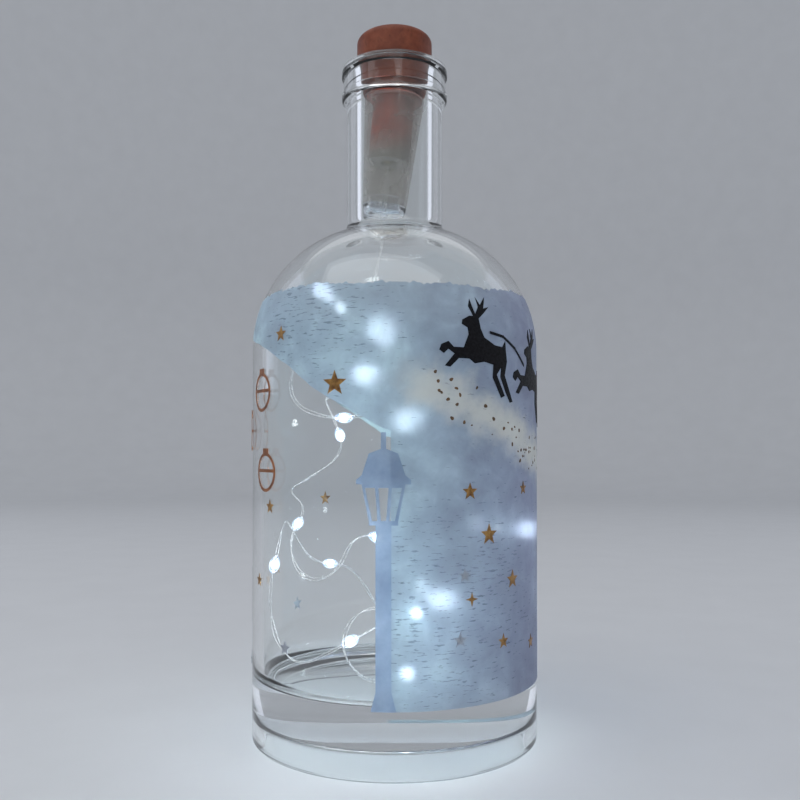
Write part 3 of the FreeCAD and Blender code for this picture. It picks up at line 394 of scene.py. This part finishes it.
def cork_look(name, painted_gains=(1.0, 1.0, 1.0), fades=False):
    """Moulded plastic in cork colour: a soft mottle with a few faint flecks and pits.
    The painted gains make the cork lighter, a painted lift against the shade and haze in the tube.
    With fades it turns grey downwards and to the right."""
    look, tree = new_look(name)
    cloud = noise(tree, 150.0, detail=5.0, rough=0.62)
    fleck = noise(tree, 1100.0, rough=0.7, stretch=(1, 1, 0.6))
    pits = add(tree, "ShaderNodeTexVoronoi", {"Vector": places(tree, (1, 1, 0.7)),
                                              "Scale": 700.0}).outputs["Distance"]
    # painted lift: the gains brighten the cork tones of a piece that lies in shade
    body = ramp(tree, cloud, [(place, tuple(shade * part for shade, part in zip(painted_gains, tone)))
                              for place, tone in CORK_TONES])
    flecks = ramp(tree, fleck, [(0.32, 0.7), (0.46, 1.0)])
    tinted = mix_colours(tree, 1.0, body, flecks, "MULTIPLY")
    if fades:
        spot = add(tree, "ShaderNodeSeparateXYZ", {"Vector": places(tree)})
        above = rescale(tree, spot.outputs["Z"], CRADLE_FADE)
        side = rescale(tree, spot.outputs["X"], CRADLE_SIDE, CRADLE_LEAST)
        tinted = mix_colours(tree, math_node(tree, "MULTIPLY", above, side),
                             (*CRADLE_GREY, 1), tinted)
    holes = ramp(tree, pits, [(0.05, 0.0), (0.16, 1.0)])
    height = math_node(tree, "ADD", holes, fleck)
    shader = add(tree, "ShaderNodeBsdfPrincipled", {
        "Base Color": tinted, "Roughness": ramp(tree, cloud, [(0.3, 0.6), (0.7, 0.45)]),
        "Specular IOR Level": 0.3, "Normal": bump(tree, height, 0.3, 0.0001)})
    finish_look(tree, shader)
    return look


def spot_mask(tree, where, centre, near, far):
    """1 close to a place on the unrolled film, fading to 0 far from it."""
    away = add(tree, "ShaderNodeVectorMath", {0: where, 1: (*centre, 0)},
               operation="DISTANCE").outputs["Value"]
    return add(tree, "ShaderNodeMapRange", {"Value": away, "From Min": near, "From Max": far,
                                            "To Min": 1.0, "To Max": 0.0},
               interpolation_type="SMOOTHSTEP").outputs["Result"]


def film_look():
    """Frosted film: hazy and mottled, with a warm band under the deer and fine scratches."""
    look, tree = new_look("frost_print")
    where = add(tree, "ShaderNodeTexCoord").outputs["UV"]
    along = add(tree, "ShaderNodeSeparateXYZ", {"Vector": where})
    cloud = noise(tree, 3.4, detail=5.0, rough=0.62, where=where)
    grain = noise(tree, 150.0, rough=0.7, where=where)
    # wide clouds with smaller smears in them
    smear = noise(tree, 11.0, detail=4.0, rough=0.6, where=where, distortion=0.8)
    mottle = math_node(tree, "ADD", math_node(tree, "MULTIPLY", cloud, 0.6),
                       math_node(tree, "MULTIPLY", smear, 0.4))
    sides = [ramp(tree, mottle, list(zip(FILM_STOPS, colours)))
             for colours in (FILM_COLOURS, FILM_RIGHT_COLOURS)]
    # the right side is duller, and evens out again towards the seam at the back
    right = math_node(tree, "MINIMUM", rescale(tree, along.outputs["X"], RIGHT_RISE),
                      rescale(tree, along.outputs["X"], RIGHT_FADE))
    cold = mix_colours(tree, right, *sides)
    # the band falls from left to right: how far this place is above or below its middle
    fall = math_node(tree, "MULTIPLY", along.outputs["X"], BAND_SLOPE)
    middle = math_node(tree, "ADD", fall, BAND_START)
    off = math_node(tree, "ABSOLUTE", math_node(tree, "SUBTRACT", along.outputs["Y"], middle))
    uneven = math_node(tree, "MULTIPLY",
                       noise(tree, 12.0, detail=4.0, rough=0.6, where=where), BAND_UNEVEN)
    band = ramp(tree, math_node(tree, "ADD", off, uneven), BAND_STOPS, smooth=True)
    reach = spot_mask(tree, where, BAND_CENTRE, *BAND_REACH)
    tint = mix_colours(tree, math_node(tree, "MULTIPLY", band, reach), cold, (*BAND_COLOUR, 1))
    coat = add(tree, "ShaderNodeBsdfPrincipled", {
        "Base Color": tint, "Roughness": 0.42, "IOR": 1.22, "Transmission Weight": 0.4,
        "Normal": bump(tree, grain, 0.25, 0.00006)})
    glow = add(tree, "ShaderNodeBsdfTranslucent", {"Color": tint})
    cover = mix_shaders(tree, 0.3, coat, glow)
    # scratches lie level, and crowd together at the upper left and right of the lamp
    stretched = add(tree, "ShaderNodeMapping", {"Vector": where, "Scale": SCRATCH_STRETCH})
    dash = noise(tree, 30.0, rough=0.6, where=stretched.outputs[0])
    crowd = 0.0
    for centre, near, far in SCRATCHED:
        crowd = math_node(tree, "MAXIMUM", spot_mask(tree, where, centre, near, far), crowd)
    patchy = math_node(tree, "MULTIPLY", noise(tree, 4.0, detail=2.0, where=where),
                       SCRATCH_PATCHES)
    lines = math_node(tree, "ADD", math_node(tree, "ADD", dash, patchy),
                      math_node(tree, "MULTIPLY", crowd, SCRATCH_CROWD))
    scratch = ramp(tree, lines, SCRATCH_STOPS)
    share = math_node(tree, "MULTIPLY", ramp(tree, cloud, [(0.3, 0.76), (0.7, 0.88)]),
                      ramp(tree, scratch, [(0.0, 1.0), (1.0, 0.55)]))
    seen_through = ramp(tree, scratch, [(0.0, (0.94, 0.97, 1.0)), (1.0, (0.55, 0.62, 0.7))])
    clear = add(tree, "ShaderNodeBsdfTransparent", {"Color": seen_through})
    finish_look(tree, mix_shaders(tree, share, clear, cover), FILM_SHADE)
    return look


def lamp_look():
    """White frost of the printed street lamp, a little denser than the film."""
    look, tree = new_look("lamp_frost")
    cloud = noise(tree, 90.0, detail=4.0, rough=0.6)
    grain = noise(tree, 1500.0, rough=0.7)
    tint = ramp(tree, cloud, [(0.3, (0.29, 0.37, 0.48)), (0.7, (0.42, 0.5, 0.6))])
    coat = add(tree, "ShaderNodeBsdfPrincipled", {
        "Base Color": tint, "Roughness": 0.5, "IOR": 1.3,
        "Normal": bump(tree, grain, 0.25, 0.00006)})
    glow = add(tree, "ShaderNodeBsdfTranslucent", {"Color": tint})
    cover = mix_shaders(tree, 0.4, coat, glow)
    clear = add(tree, "ShaderNodeBsdfTransparent", {"Color": (0.93, 0.96, 1, 1)})
    share = ramp(tree, cloud, [(0.3, 0.8), (0.7, 0.93)])
    finish_look(tree, mix_shaders(tree, share, clear, cover), (0.6, 0.64, 0.7))
    return look


def smoke_look():
    """Grey translucent plastic of the battery tube, in which the cradle shows faintly."""
    look, tree = new_look("smoke_plastic")
    cloud = noise(tree, 120.0)
    shader = add(tree, "ShaderNodeBsdfPrincipled", {
        "Base Color": ramp(tree, cloud, [(0.3, (0.47, 0.455, 0.43)), (0.7, (0.58, 0.565, 0.54))]),
        "Roughness": 0.3, "IOR": 1.2, "Transmission Weight": 0.45,
        "Normal": bump(tree, cloud, 0.1, 0.0001)})
    clear = add(tree, "ShaderNodeBsdfTransparent", {"Color": (0.9, 0.88, 0.86, 1)})
    share = ramp(tree, cloud, [(0.3, 0.24), (0.7, 0.36)])
    finish_look(tree, mix_shaders(tree, share, clear, shader), (0.75, 0.74, 0.73))
    return look


def light_look():
    """Clear resin drop, lit from its middle and a fainter blue towards its ends."""
    look, tree = new_look("clear_resin")
    where = add(tree, "ShaderNodeTexCoord").outputs["UV"]
    along = add(tree, "ShaderNodeSeparateXYZ", {"Vector": where}).outputs["Y"]
    lit = ramp(tree, along, [(0.1, 0.0), (0.5, 1.0), (0.9, 0.0)], smooth=True)
    spread = noise(tree, 900.0, detail=2.0)
    patchy = math_node(tree, "MULTIPLY", spread, 0.9)
    strength = math_node(tree, "ADD", math_node(tree, "MULTIPLY", lit, patchy), 0.16)
    shader = add(tree, "ShaderNodeBsdfPrincipled", {
        "Base Color": (0.9, 0.95, 1, 1), "Roughness": 0.02, "IOR": 1.4,
        "Transmission Weight": 1.0,
        "Emission Color": ramp(tree, lit, [(0.0, (0.3, 0.5, 1.0)), (1.0, (0.7, 0.86, 1.0))]),
        "Emission Strength": strength, "Normal": bump(tree, spread, 0.3, 0.0002)})
    finish_look(tree, shader, (0.95, 0.98, 1.0))
    return look


def chip_look():
    """Bright heart of a drop, which hides nothing from the lamp inside it."""
    look, tree = new_look("led_yellow")
    spots = noise(tree, 2500.0)
    tint = ramp(tree, spots, [(0.3, (0.85, 0.93, 1.0)), (0.7, (1.0, 1.0, 1.0))])
    shader = add(tree, "ShaderNodeBsdfPrincipled", {
        "Base Color": (0.95, 0.85, 0.4, 1), "Roughness": 0.5, "Emission Color": tint,
        "Emission Strength": 9.0})
    finish_look(tree, shader, (1.0, 1.0, 1.0))
    return look


looks = {
    "clear_glass": glass_look("clear_glass", (0.965, 0.985, 0.985), roughness=0.0, ior=1.5,
                              wave=0.06, wave_scale=45.0, through=(0.81, 0.84, 0.85)),
    "frost_print": film_look(),
    "lamp_frost": lamp_look(),
    "cork_plastic": cork_look("cork_plastic"),
    # the cradle is the cap's cork made lighter and redder, painted light against the shade and haze
    # in the tube
    "cradle_cork": cork_look("cradle_cork", (3.3, 1.9, 1.5), fades=True),
    "smoke_plastic": smoke_look(),
    "clear_plastic": glass_look("clear_plastic", (0.93, 0.96, 1.0), roughness=0.06, ior=1.46,
                                wave=0.25, wave_scale=260.0, through=(0.9, 0.93, 0.97)),
    "clear_glue": glass_look("clear_glue", (0.93, 0.95, 0.97), roughness=0.25, ior=1.45,
                             wave=0.3, wave_scale=500.0, through=(0.85, 0.88, 0.9)),
    "clear_resin": light_look(),
    "led_yellow": chip_look(),
}

# Opaque finishes: colour, darker colour of the mottle, and the settings of plain_look
PLAIN_LOOKS = {
    "black_print": ((0.008, 0.008, 0.011), (0.002, 0.002, 0.003),
                    dict(roughness=0.5, scale=1500.0, specular=0.15)),
    "gold_print": ((0.46, 0.25, 0.065), (0.11, 0.04, 0.008),
                   dict(roughness=0.4, scale=620.0, metallic=0.3)),
    "dot_brown": ((0.2, 0.1, 0.035), (0.05, 0.025, 0.01), dict(roughness=0.45, scale=500.0)),
    "bauble_brown": ((0.36, 0.125, 0.035), (0.13, 0.04, 0.01),
                     dict(roughness=0.42, scale=420.0, metallic=0.15)),
    "grey_print": ((0.42, 0.45, 0.5), (0.24, 0.27, 0.32),
                   dict(roughness=0.5, scale=900.0, metallic=0.2)),
    "black_plastic": ((0.02, 0.02, 0.022), (0.008, 0.008, 0.009),
                      dict(roughness=0.42, scale=2200.0)),
    "cell_steel": ((0.75, 0.75, 0.73), (0.6, 0.6, 0.58),
                   dict(roughness=0.25, scale=1400.0, metallic=1.0)),
    "contact_metal": ((0.78, 0.7, 0.52), (0.6, 0.53, 0.38),
                      dict(roughness=0.28, scale=1600.0, metallic=1.0)),
    "solder": ((0.75, 0.75, 0.77), (0.55, 0.55, 0.57),
               dict(roughness=0.3, scale=2500.0, metallic=1.0)),
    "board_green": ((0.03, 0.2, 0.07), (0.012, 0.1, 0.03),
                    dict(roughness=0.35, scale=500.0, coat=0.5)),
    "silver_wire": ((0.92, 0.93, 0.94), (0.8, 0.8, 0.8),
                    dict(roughness=0.25, scale=1800.0, metallic=0.6)),
}
for name, (colour, darker, settings) in PLAIN_LOOKS.items():
    looks[name] = plain_look(name, colour, darker, **settings)

# nodes whose finish differs from the rest of their slot
OWN_LOOKS = {"street_lamp": "lamp_frost", "bauble_prints": "bauble_brown",
             "battery_cradle": "cradle_cork", "inner_lead_positive": "silver_wire",
             "inner_lead_negative": "silver_wire"}


def dress_nodes():
    """Give every node that came with the frame the finish of its slot."""
    for part in frame["record"]["subparts"]:
        item = nodes[part["node"]]
        look = looks[OWN_LOOKS.get(part["node"], part["material_slot"])]
        if not item.data.materials:
            item.data.materials.append(look)
        for slot in item.material_slots:
            slot.material = look


# Cords: their points are read from a smooth line through the route

def centreline(name, route):
    """Points of the NURBS line that has the route as its control points."""
    data = bpy.data.curves.new(name + "_route", "CURVE")
    data.dimensions = "3D"
    data.resolution_u = 12
    spline = data.splines.new("NURBS")
    spline.points.add(len(route) - 1)
    for point, spot in zip(spline.points, route):
        point.co = (*spot, 1)
    spline.order_u = 3
    spline.use_endpoint_u = True
    curve = new_object(name + "_route", data)
    bpy.context.view_layer.update()
    mesh = bpy.data.meshes.new_from_object(curve)
    line = [vertex.co.copy() for vertex in mesh.vertices]
    bpy.data.objects.remove(curve)
    bpy.data.meshes.remove(mesh)
    return line


def frames_along(line):
    """A direction and two ways across it at each point, turning as little as can be."""
    found = []
    across = None
    for k in range(len(line)):
        along = (line[min(k + 1, len(line) - 1)] - line[max(k - 1, 0)]).normalized()
        if across is None:
            across = along.orthogonal().normalized()
        across = (across - along * across.dot(along)).normalized()
        found.append((along, across, along.cross(across)))
    return found


def make_strands(name, line):
    """Two fine strands that lie side by side along the line, and turn about it loosely."""
    sides = STRAND_SIDES
    vertices, faces = [], []
    ways = frames_along(line)
    for strand in range(2):
        run = 0.0
        first = len(vertices)
        for k, (spot, (along, across, other)) in enumerate(zip(line, ways)):
            if k:
                run += (spot - line[k - 1]).length
            turn = math.pi * strand + 2 * math.pi * run / STRAND_TURN \
                + STRAND_SWAY * math.sin(run / SWAY_LENGTH)
            bulge = STRAND_BULGE * math.sin(run / BULGE_LENGTH + BULGE_OFFSET * strand)
            ends = min(1.0, min(k, len(line) - 1 - k) / END_POINTS)
            spread = STRAND_OFFSET * (1 + bulge) * (END_SHARE + (1 - END_SHARE) * ends)
            middle = spot + (across * math.cos(turn) + other * math.sin(turn)) * spread
            for side in range(sides):
                angle = 2 * math.pi * side / sides
                vertices.append(middle + (across * math.cos(angle)
                                          + other * math.sin(angle)) * STRAND_RADIUS)
        for k in range(len(line) - 1):
            for side in range(sides):
                a = first + k * sides + side
                b = first + k * sides + (side + 1) % sides
                faces.append((a, b, b + sides, a + sides))
        last = first + (len(line) - 1) * sides
        faces.append(tuple(first + side for side in reversed(range(sides))))
        faces.append(tuple(last + side for side in range(sides)))
    return new_mesh(name, vertices, faces, sharp=80)


def turned(name, profile, columns):
    """A profile of (radius, height) turned about the Z axis. Points at radius 0 become poles."""
    angles = [2 * math.pi * k / columns for k in range(columns)]
    vertices, faces, rows = [], [], []
    for radius, height in profile:
        if radius < 1e-9:
            rows.append([len(vertices)] * len(angles))
            vertices.append((0, 0, height))
        else:
            rows.append(list(range(len(vertices), len(vertices) + len(angles))))
            vertices += [(radius * math.sin(a), -radius * math.cos(a), height) for a in angles]
    for low, up in zip(rows, rows[1:]):
        for k in range(len(angles)):
            n = (k + 1) % len(angles)
            corners = []
            for corner in (low[k], low[n], up[n], up[k]):
                if corner not in corners:
                    corners.append(corner)
            if len(corners) > 2:
                faces.append(tuple(corners))
    return new_mesh(name, vertices, faces)


def arc(across, up, radius, begin, finish, steps):
    """Points (radius, height) along an arc, its angles in degrees from the outward way."""
    points = []
    for k in range(steps + 1):
        angle = math.radians(begin + (finish - begin) * k / steps)
        points.append((across + radius * math.cos(angle), up + radius * math.sin(angle)))
    return points


def line_up(across, low, high, steps):
    """Points (radius, height) up a wall, without its two ends."""
    return [(across, low + (high - low) * k / steps) for k in range(1, steps)]


def make_bottle():
    """Glass in one closed skin: outside from the base up, and down again inside."""
    shoulder = BODY_RADIUS - SHOULDER_ACROSS
    inner_shoulder = shoulder - BODY_WALL
    fillet_across = NECK_RADIUS + NECK_FILLET
    inner_fillet = fillet_across - BORE_RADIUS
    span = fillet_across - SHOULDER_ACROSS
    rise = math.sqrt((shoulder + NECK_FILLET) ** 2 - span ** 2)
    inner_rise = math.sqrt((inner_shoulder + inner_fillet) ** 2 - span ** 2)
    meet = math.degrees(math.atan2(rise, span))
    inner_meet = math.degrees(math.atan2(inner_rise, span))
    collar = BOTTLE_HEIGHT - COLLAR_HEIGHT
    rim = COLLAR_RADIUS - COLLAR_ROUND
    waist = COLLAR_RADIUS - COLLAR_WAIST
    inner = BODY_RADIUS - BODY_WALL
    reach = FOOT_INNER_RADIUS - FOOT_INNER_ROUND
    profile = [(reach * k / ROOF_STEPS, FOOT_HEIGHT + FOOT_DOME * (1 - (k / ROOF_STEPS) ** 2))
               for k in range(ROOF_STEPS)]
    profile += arc(reach, FOOT_HEIGHT - FOOT_INNER_ROUND, FOOT_INNER_ROUND, 90, 0, 8)
    profile += line_up(FOOT_INNER_RADIUS, FOOT_HEIGHT - FOOT_INNER_ROUND, FOOT_EDGE_ROUND, 4)
    profile += arc(FOOT_INNER_RADIUS + FOOT_EDGE_ROUND, FOOT_EDGE_ROUND, FOOT_EDGE_ROUND,
                   180, 270, 4)
    profile += arc(BODY_RADIUS - HEEL_ROUND, HEEL_ROUND, HEEL_ROUND, -90, 0, 10)
    profile += line_up(BODY_RADIUS, HEEL_ROUND, WALL_HEIGHT, WALL_STEPS)
    profile += arc(SHOULDER_ACROSS, WALL_HEIGHT, shoulder, 0, meet, SHOULDER_STEPS)
    profile += arc(fillet_across, WALL_HEIGHT + rise, NECK_FILLET, 180 + meet, 180, 12)[1:]
    profile += line_up(NECK_RADIUS, WALL_HEIGHT + rise, collar, NECK_STEPS)
    profile.append((NECK_RADIUS, collar))
    profile += arc(rim, collar + COLLAR_ROUND, COLLAR_ROUND, -90, 0, 6)
    profile += [(COLLAR_RADIUS, collar + COLLAR_BEAD - COLLAR_WAIST), (waist, collar + COLLAR_BEAD)]
    profile += [(waist, BOTTLE_HEIGHT - COLLAR_BEAD - COLLAR_WAIST),
                (COLLAR_RADIUS, BOTTLE_HEIGHT - COLLAR_BEAD)]
    profile += arc(rim, BOTTLE_HEIGHT - COLLAR_ROUND, COLLAR_ROUND, 0, 90, 6)
    profile += arc(BORE_RADIUS + LIP_ROUND, BOTTLE_HEIGHT - LIP_ROUND, LIP_ROUND, 90, 180, 5)
    profile += reversed(line_up(BORE_RADIUS, WALL_HEIGHT + inner_rise, BOTTLE_HEIGHT,
                                BORE_STEPS))
    profile += arc(fillet_across, WALL_HEIGHT + inner_rise, inner_fillet, 180, 180 + inner_meet, 16)
    profile += arc(SHOULDER_ACROSS, WALL_HEIGHT, inner_shoulder, inner_meet, 0,
                   SHOULDER_STEPS)[1:]
    profile += reversed(line_up(inner, FLOOR_HEIGHT + INNER_HEEL, WALL_HEIGHT, WALL_STEPS))
    profile += arc(inner - INNER_HEEL, FLOOR_HEIGHT + INNER_HEEL, INNER_HEEL, 0, -90, 16)
    profile += [(0.02, FLOOR_HEIGHT), (0.01, FLOOR_HEIGHT), (0, FLOOR_HEIGHT)]
    bottle = turned("glass_bottle", profile, COLUMNS)
    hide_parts("bottle_glass")
    return dress(bottle, looks["clear_glass"])


def film_radius(height, gap):
    """Radius of the film, which follows the wall and then the shoulder."""
    if height <= WALL_HEIGHT:
        return BODY_RADIUS + gap
    reach = BODY_RADIUS - SHOULDER_ACROSS + gap
    return SHOULDER_ACROSS + math.sqrt(reach ** 2 - (height - WALL_HEIGHT) ** 2)


def hill(across):
    """Height of the window's upper edge at a place across the front."""
    shares = [(x * BODY_RADIUS, z * WALL_HEIGHT) for x, z in HILL_SHARES]
    for (x, z), (next_x, next_z) in zip(shares, shares[1:]):
        if across <= next_x:
            return z + (next_z - z) * max(0.0, (across - x)) / (next_x - x)
    return shares[-1][1]


def ragged(angle, seed, size, waves):
    """Small uneven wave round the bottle, the same at both ends of the turn."""
    total = 0.0
    for k, (turns, share) in enumerate(waves):
        total += share * math.sin(turns * angle + seed * (k + 1.7))
    return size * total


def make_film():
    """Frosted film: whole on the right, and above the window's edge on the left."""
    edge = math.asin(WINDOW_EDGE / BODY_RADIUS)
    back_edge = -math.pi - edge
    half = FILM_COLUMNS // 2
    steps = [math.pi * k / half for k in range(-half, half)]
    right = [edge] + [a for a in steps if a > edge + 1e-6] \
        + [a + 2 * math.pi for a in steps if a + 2 * math.pi < 2 * math.pi + back_edge - 1e-6] \
        + [2 * math.pi + back_edge]
    left = [back_edge] + [a for a in steps if back_edge + 1e-6 < a < edge - 1e-6] + [edge]
    vertices, faces, uvs = [], [], []
    rows = FILM_ROWS
    for angles, low_edge in ((right, lambda a: FILM_BOTTOM),
                             (left, lambda a: hill(BODY_RADIUS * math.sin(a))
                              + ragged(a, HILL_SEED, HILL_WAVE, SOFT_WAVES))):
        first = len(vertices)
        for a in angles:
            bottom = low_edge(a)
            top = FILM_TOP - FILM_NICK * 3 + ragged(a, TOP_SEED, FILM_NICK, NICKED_WAVES)
            for layer in (FILM_GAP, FILM_GAP + FILM_THICKNESS):
                for k in range(rows + 1):
                    height = bottom + (top - bottom) * k / rows
                    radius = film_radius(height, layer)
                    vertices.append((radius * math.sin(a), -radius * math.cos(a), height))
                    uvs.append((a * BODY_RADIUS / UV_METRE, height / UV_METRE))
        column = 2 * (rows + 1)
        for c in range(len(angles) - 1):
            a, b = first + c * column, first + (c + 1) * column
            for k in range(rows):
                faces.append((a + k, a + k + 1, b + k + 1, b + k))
                outer_a, outer_b = a + rows + 1 + k, b + rows + 1 + k
                faces.append((outer_a, outer_b, outer_b + 1, outer_a + 1))
            faces.append((a, b, b + rows + 1, a + rows + 1))
            faces.append((a + rows, a + 2 * rows + 1, b + 2 * rows + 1, b + rows))
        for c, flip in ((0, False), (len(angles) - 1, True)):
            a = first + c * column
            for k in range(rows):
                side = (a + k, a + rows + 1 + k, a + rows + 2 + k, a + k + 1)
                faces.append(tuple(reversed(side)) if flip else side)
    film = new_mesh("frosted_film", vertices, faces)
    layer = film.data.uv_layers.new(name="wrap")
    for loop in film.data.loops:
        layer.data[loop.index].uv = uvs[loop.vertex_index]
    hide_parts("frost_film")
    return dress(film, looks["frost_print"])


def make_dots():
    """Brown dots on the warm band of the film, scattered and uneven in size."""
    chance = random.Random(41)
    vertices, faces = [], []
    sides = DOT_SIDES
    low = BODY_RADIUS + FILM_GAP + FILM_THICKNESS
    for k in range(DOT_COUNT):
        turn = chance.uniform(*DOT_TURNS)
        middle = UV_METRE * (BAND_START + BAND_SLOPE * turn * BODY_RADIUS / UV_METRE)
        height = middle + chance.gauss(0, 1) * DOT_SPREAD
        size = DOT_RADIUS * chance.uniform(*DOT_SIZES) ** DOT_SKEW
        lean, squeeze = chance.uniform(0, math.pi), chance.uniform(*DOT_SQUEEZE)
        first = len(vertices)
        for rise in (DOT_LIFT, DOT_LIFT + DOT_THICKNESS):
            for side in range(sides):
                angle = 2 * math.pi * side / sides
                reach = size * (1 + DOT_UNEVEN[0] * math.sin(2 * angle + k)
                                + DOT_UNEVEN[1] * math.sin(3 * angle))
                x, y = reach * math.cos(angle), reach * squeeze * math.sin(angle)
                across = x * math.cos(lean) - y * math.sin(lean)
                up = x * math.sin(lean) + y * math.cos(lean)
                a = turn + across / BODY_RADIUS
                vertices.append(((low + rise) * math.sin(a), -(low + rise) * math.cos(a),
                                 height + up))
        for side in range(sides):
            n = (side + 1) % sides
            faces.append((first + side, first + n, first + sides + n, first + sides + side))
        faces.append(tuple(first + side for side in reversed(range(sides))))
        faces.append(tuple(first + sides + side for side in range(sides)))
    dots = new_mesh("band_dots", vertices, faces, flat=True)
    return dress(dots, looks["dot_brown"])


def make_drop(name, middle, along, seed):
    """Resin drop round the wire: an uneven egg, drawn out at both ends."""
    rows, columns = 18, 20
    vertices, faces = [], []
    turn = along.to_track_quat("Z", "Y")
    chance = random.Random(seed)
    lean = chance.uniform(-DROP_LEAN, DROP_LEAN)
    for k in range(rows + 1):
        share = -1 + 2 * k / rows
        swell = math.sqrt(max(0.0, 1 - share ** 2)) ** DROP_SWELL * (1 + lean * share)
        for c in range(columns):
            angle = 2 * math.pi * c / columns
            uneven = 1 + DROP_UNEVEN[0] * math.sin(2 * angle + seed) \
                + DROP_UNEVEN[1] * math.sin(3 * angle + 2 * share)
            radius = DROP_RADIUS * DROP_FILL * max(swell, DROP_END) * uneven
            spot = Vector((radius * math.cos(angle), radius * math.sin(angle),
                           share * DROP_LENGTH / 2))
            vertices.append(middle + turn @ spot)
    for k in range(rows):
        for c in range(columns):
            a, b = k * columns + c, k * columns + (c + 1) % columns
            faces.append((a, b, b + columns, a + columns))
    faces.append(tuple(reversed(range(columns))))
    faces.append(tuple(rows * columns + c for c in range(columns)))
    drop = new_mesh(name, vertices, faces, sharp=60)
    layer = drop.data.uv_layers.new(name="egg")
    for loop in drop.data.loops:
        row, column = divmod(loop.vertex_index, columns)
        layer.data[loop.index].uv = (column / columns, row / rows)
    return drop


def add_core(vertices, faces, middle, along, seed):
    """Lit heart of one drop: a small uneven egg round its chip."""
    rows, columns = 8, 10
    turn = along.to_track_quat("Z", "Y")
    first = len(vertices)
    for k in range(1, rows):
        share = -1 + 2 * k / rows
        for c in range(columns):
            angle = 2 * math.pi * c / columns
            uneven = 1 + CORE_UNEVEN * math.sin(2 * angle + seed)
            radius = CORE_RADIUS * math.sqrt(1 - share ** 2) * uneven
            vertices.append(middle + turn @ Vector((radius * math.cos(angle),
                                                    radius * math.sin(angle),
                                                    share * CORE_LENGTH / 2)))
    for k in range(rows - 2):
        for c in range(columns):
            a, b = first + k * columns + c, first + k * columns + (c + 1) % columns
            faces.append((a, b, b + columns, a + columns))
    faces.append(tuple(first + c for c in reversed(range(columns))))
    faces.append(tuple(first + (rows - 2) * columns + c for c in range(columns)))


def make_string():
    """Lead, wire and lights of the string."""
    lead_line = centreline("lead", LEAD_START + LEAD_POINTS)
    lead = make_strands("lead_strands", lead_line)
    lead.data.materials.append(looks["silver_wire"])
    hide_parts("string_lead")
    string_line = centreline("string", STRING_POINTS)
    string = make_strands("string_strands", string_line)
    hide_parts("string_wire")
    dress(string, looks["silver_wire"])
    core_vertices, core_faces = [], []
    for k, run in enumerate(LIGHT_RUNS):
        start, end = Vector(STRING_POINTS[run]), Vector(STRING_POINTS[run + 1])
        drop = make_drop("light_drop_%02d" % (k + 1), (start + end) / 2, end - start, k + 1)
        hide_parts("led_bead_%02d" % (k + 1))
        dress(drop, looks["clear_resin"])
        add_core(core_vertices, core_faces, (start + end) / 2, end - start, k)
        make_glow((start + end) / 2)
    cores = new_mesh("light_cores", core_vertices, core_faces, sharp=60)
    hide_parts("led_chips")
    dress(cores, looks["led_yellow"])
    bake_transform(lead)


def make_glow(spot):
    """Small cold light inside one drop."""
    data = bpy.data.lights.new("drop_light", "POINT")
    data.energy = GLOW_POWER
    data.color = GLOW_COLOUR
    data.shadow_soft_size = GLOW_RADIUS
    lamp = bpy.data.objects.new("drop_light", data)
    lamp.location = spot
    bpy.context.scene.collection.objects.link(lamp)


def stage_look(name, colour):
    """Pale paper of the floor and the backdrop."""
    look, tree = new_look(name)
    fibre = noise(tree, 30.0)
    shader = add(tree, "ShaderNodeBsdfPrincipled", {
        "Base Color": ramp(tree, fibre, [(0.3, tuple(0.97 * c for c in colour)), (0.7, colour)]),
        "Roughness": 0.7})
    finish_look(tree, shader)
    return look


def make_stage():
    """Pale floor that curves up into a backdrop all round."""
    profile = [(0.0, 0.0), (0.1, 0.0), (0.3, 0.0)]
    profile += arc(FLOOR_RADIUS, FLOOR_SWEEP, FLOOR_SWEEP, -90, 0, 10)
    profile.append((FLOOR_RADIUS + FLOOR_SWEEP, BACKDROP_HEIGHT))
    stage = turned("stage", profile, STAGE_COLUMNS)
    stage.data.flip_normals()
    stage.data.materials.append(stage_look("stage_paper", STAGE_COLOUR))


def area_light(name, place, size, power, colour):
    """Soft lamp that the camera doesn't see."""
    data = bpy.data.lights.new(name, "AREA")
    data.shape = "RECTANGLE"
    data.size, data.size_y = size
    data.energy = power
    data.color = colour
    lamp = bpy.data.objects.new(name, data)
    lamp.location = place
    lamp.rotation_euler = (Vector(LAMP_AIM) - Vector(place)).to_track_quat("-Z", "Y").to_euler()
    lamp.visible_camera = False
    bpy.context.scene.collection.objects.link(lamp)


def make_lighting():
    for lamp in LAMPS:
        area_light(*lamp)
    world = bpy.data.worlds.new("world")
    world.use_nodes = True
    back = world.node_tree.nodes["Background"]
    back.inputs["Color"].default_value = WORLD_COLOUR
    back.inputs["Strength"].default_value = WORLD_STRENGTH
    bpy.context.scene.world = world


def set_scene():
    scene = bpy.context.scene
    scene.view_settings.view_transform = "Standard"
    scene.cycles.transparent_max_bounces = 48
    scene.cycles.transmission_bounces = 20
    scene.cycles.max_bounces = 24


set_scene()
make_camera()
dress_nodes()
make_string()
make_bottle()
make_film()
make_dots()
make_stage()
make_lighting()
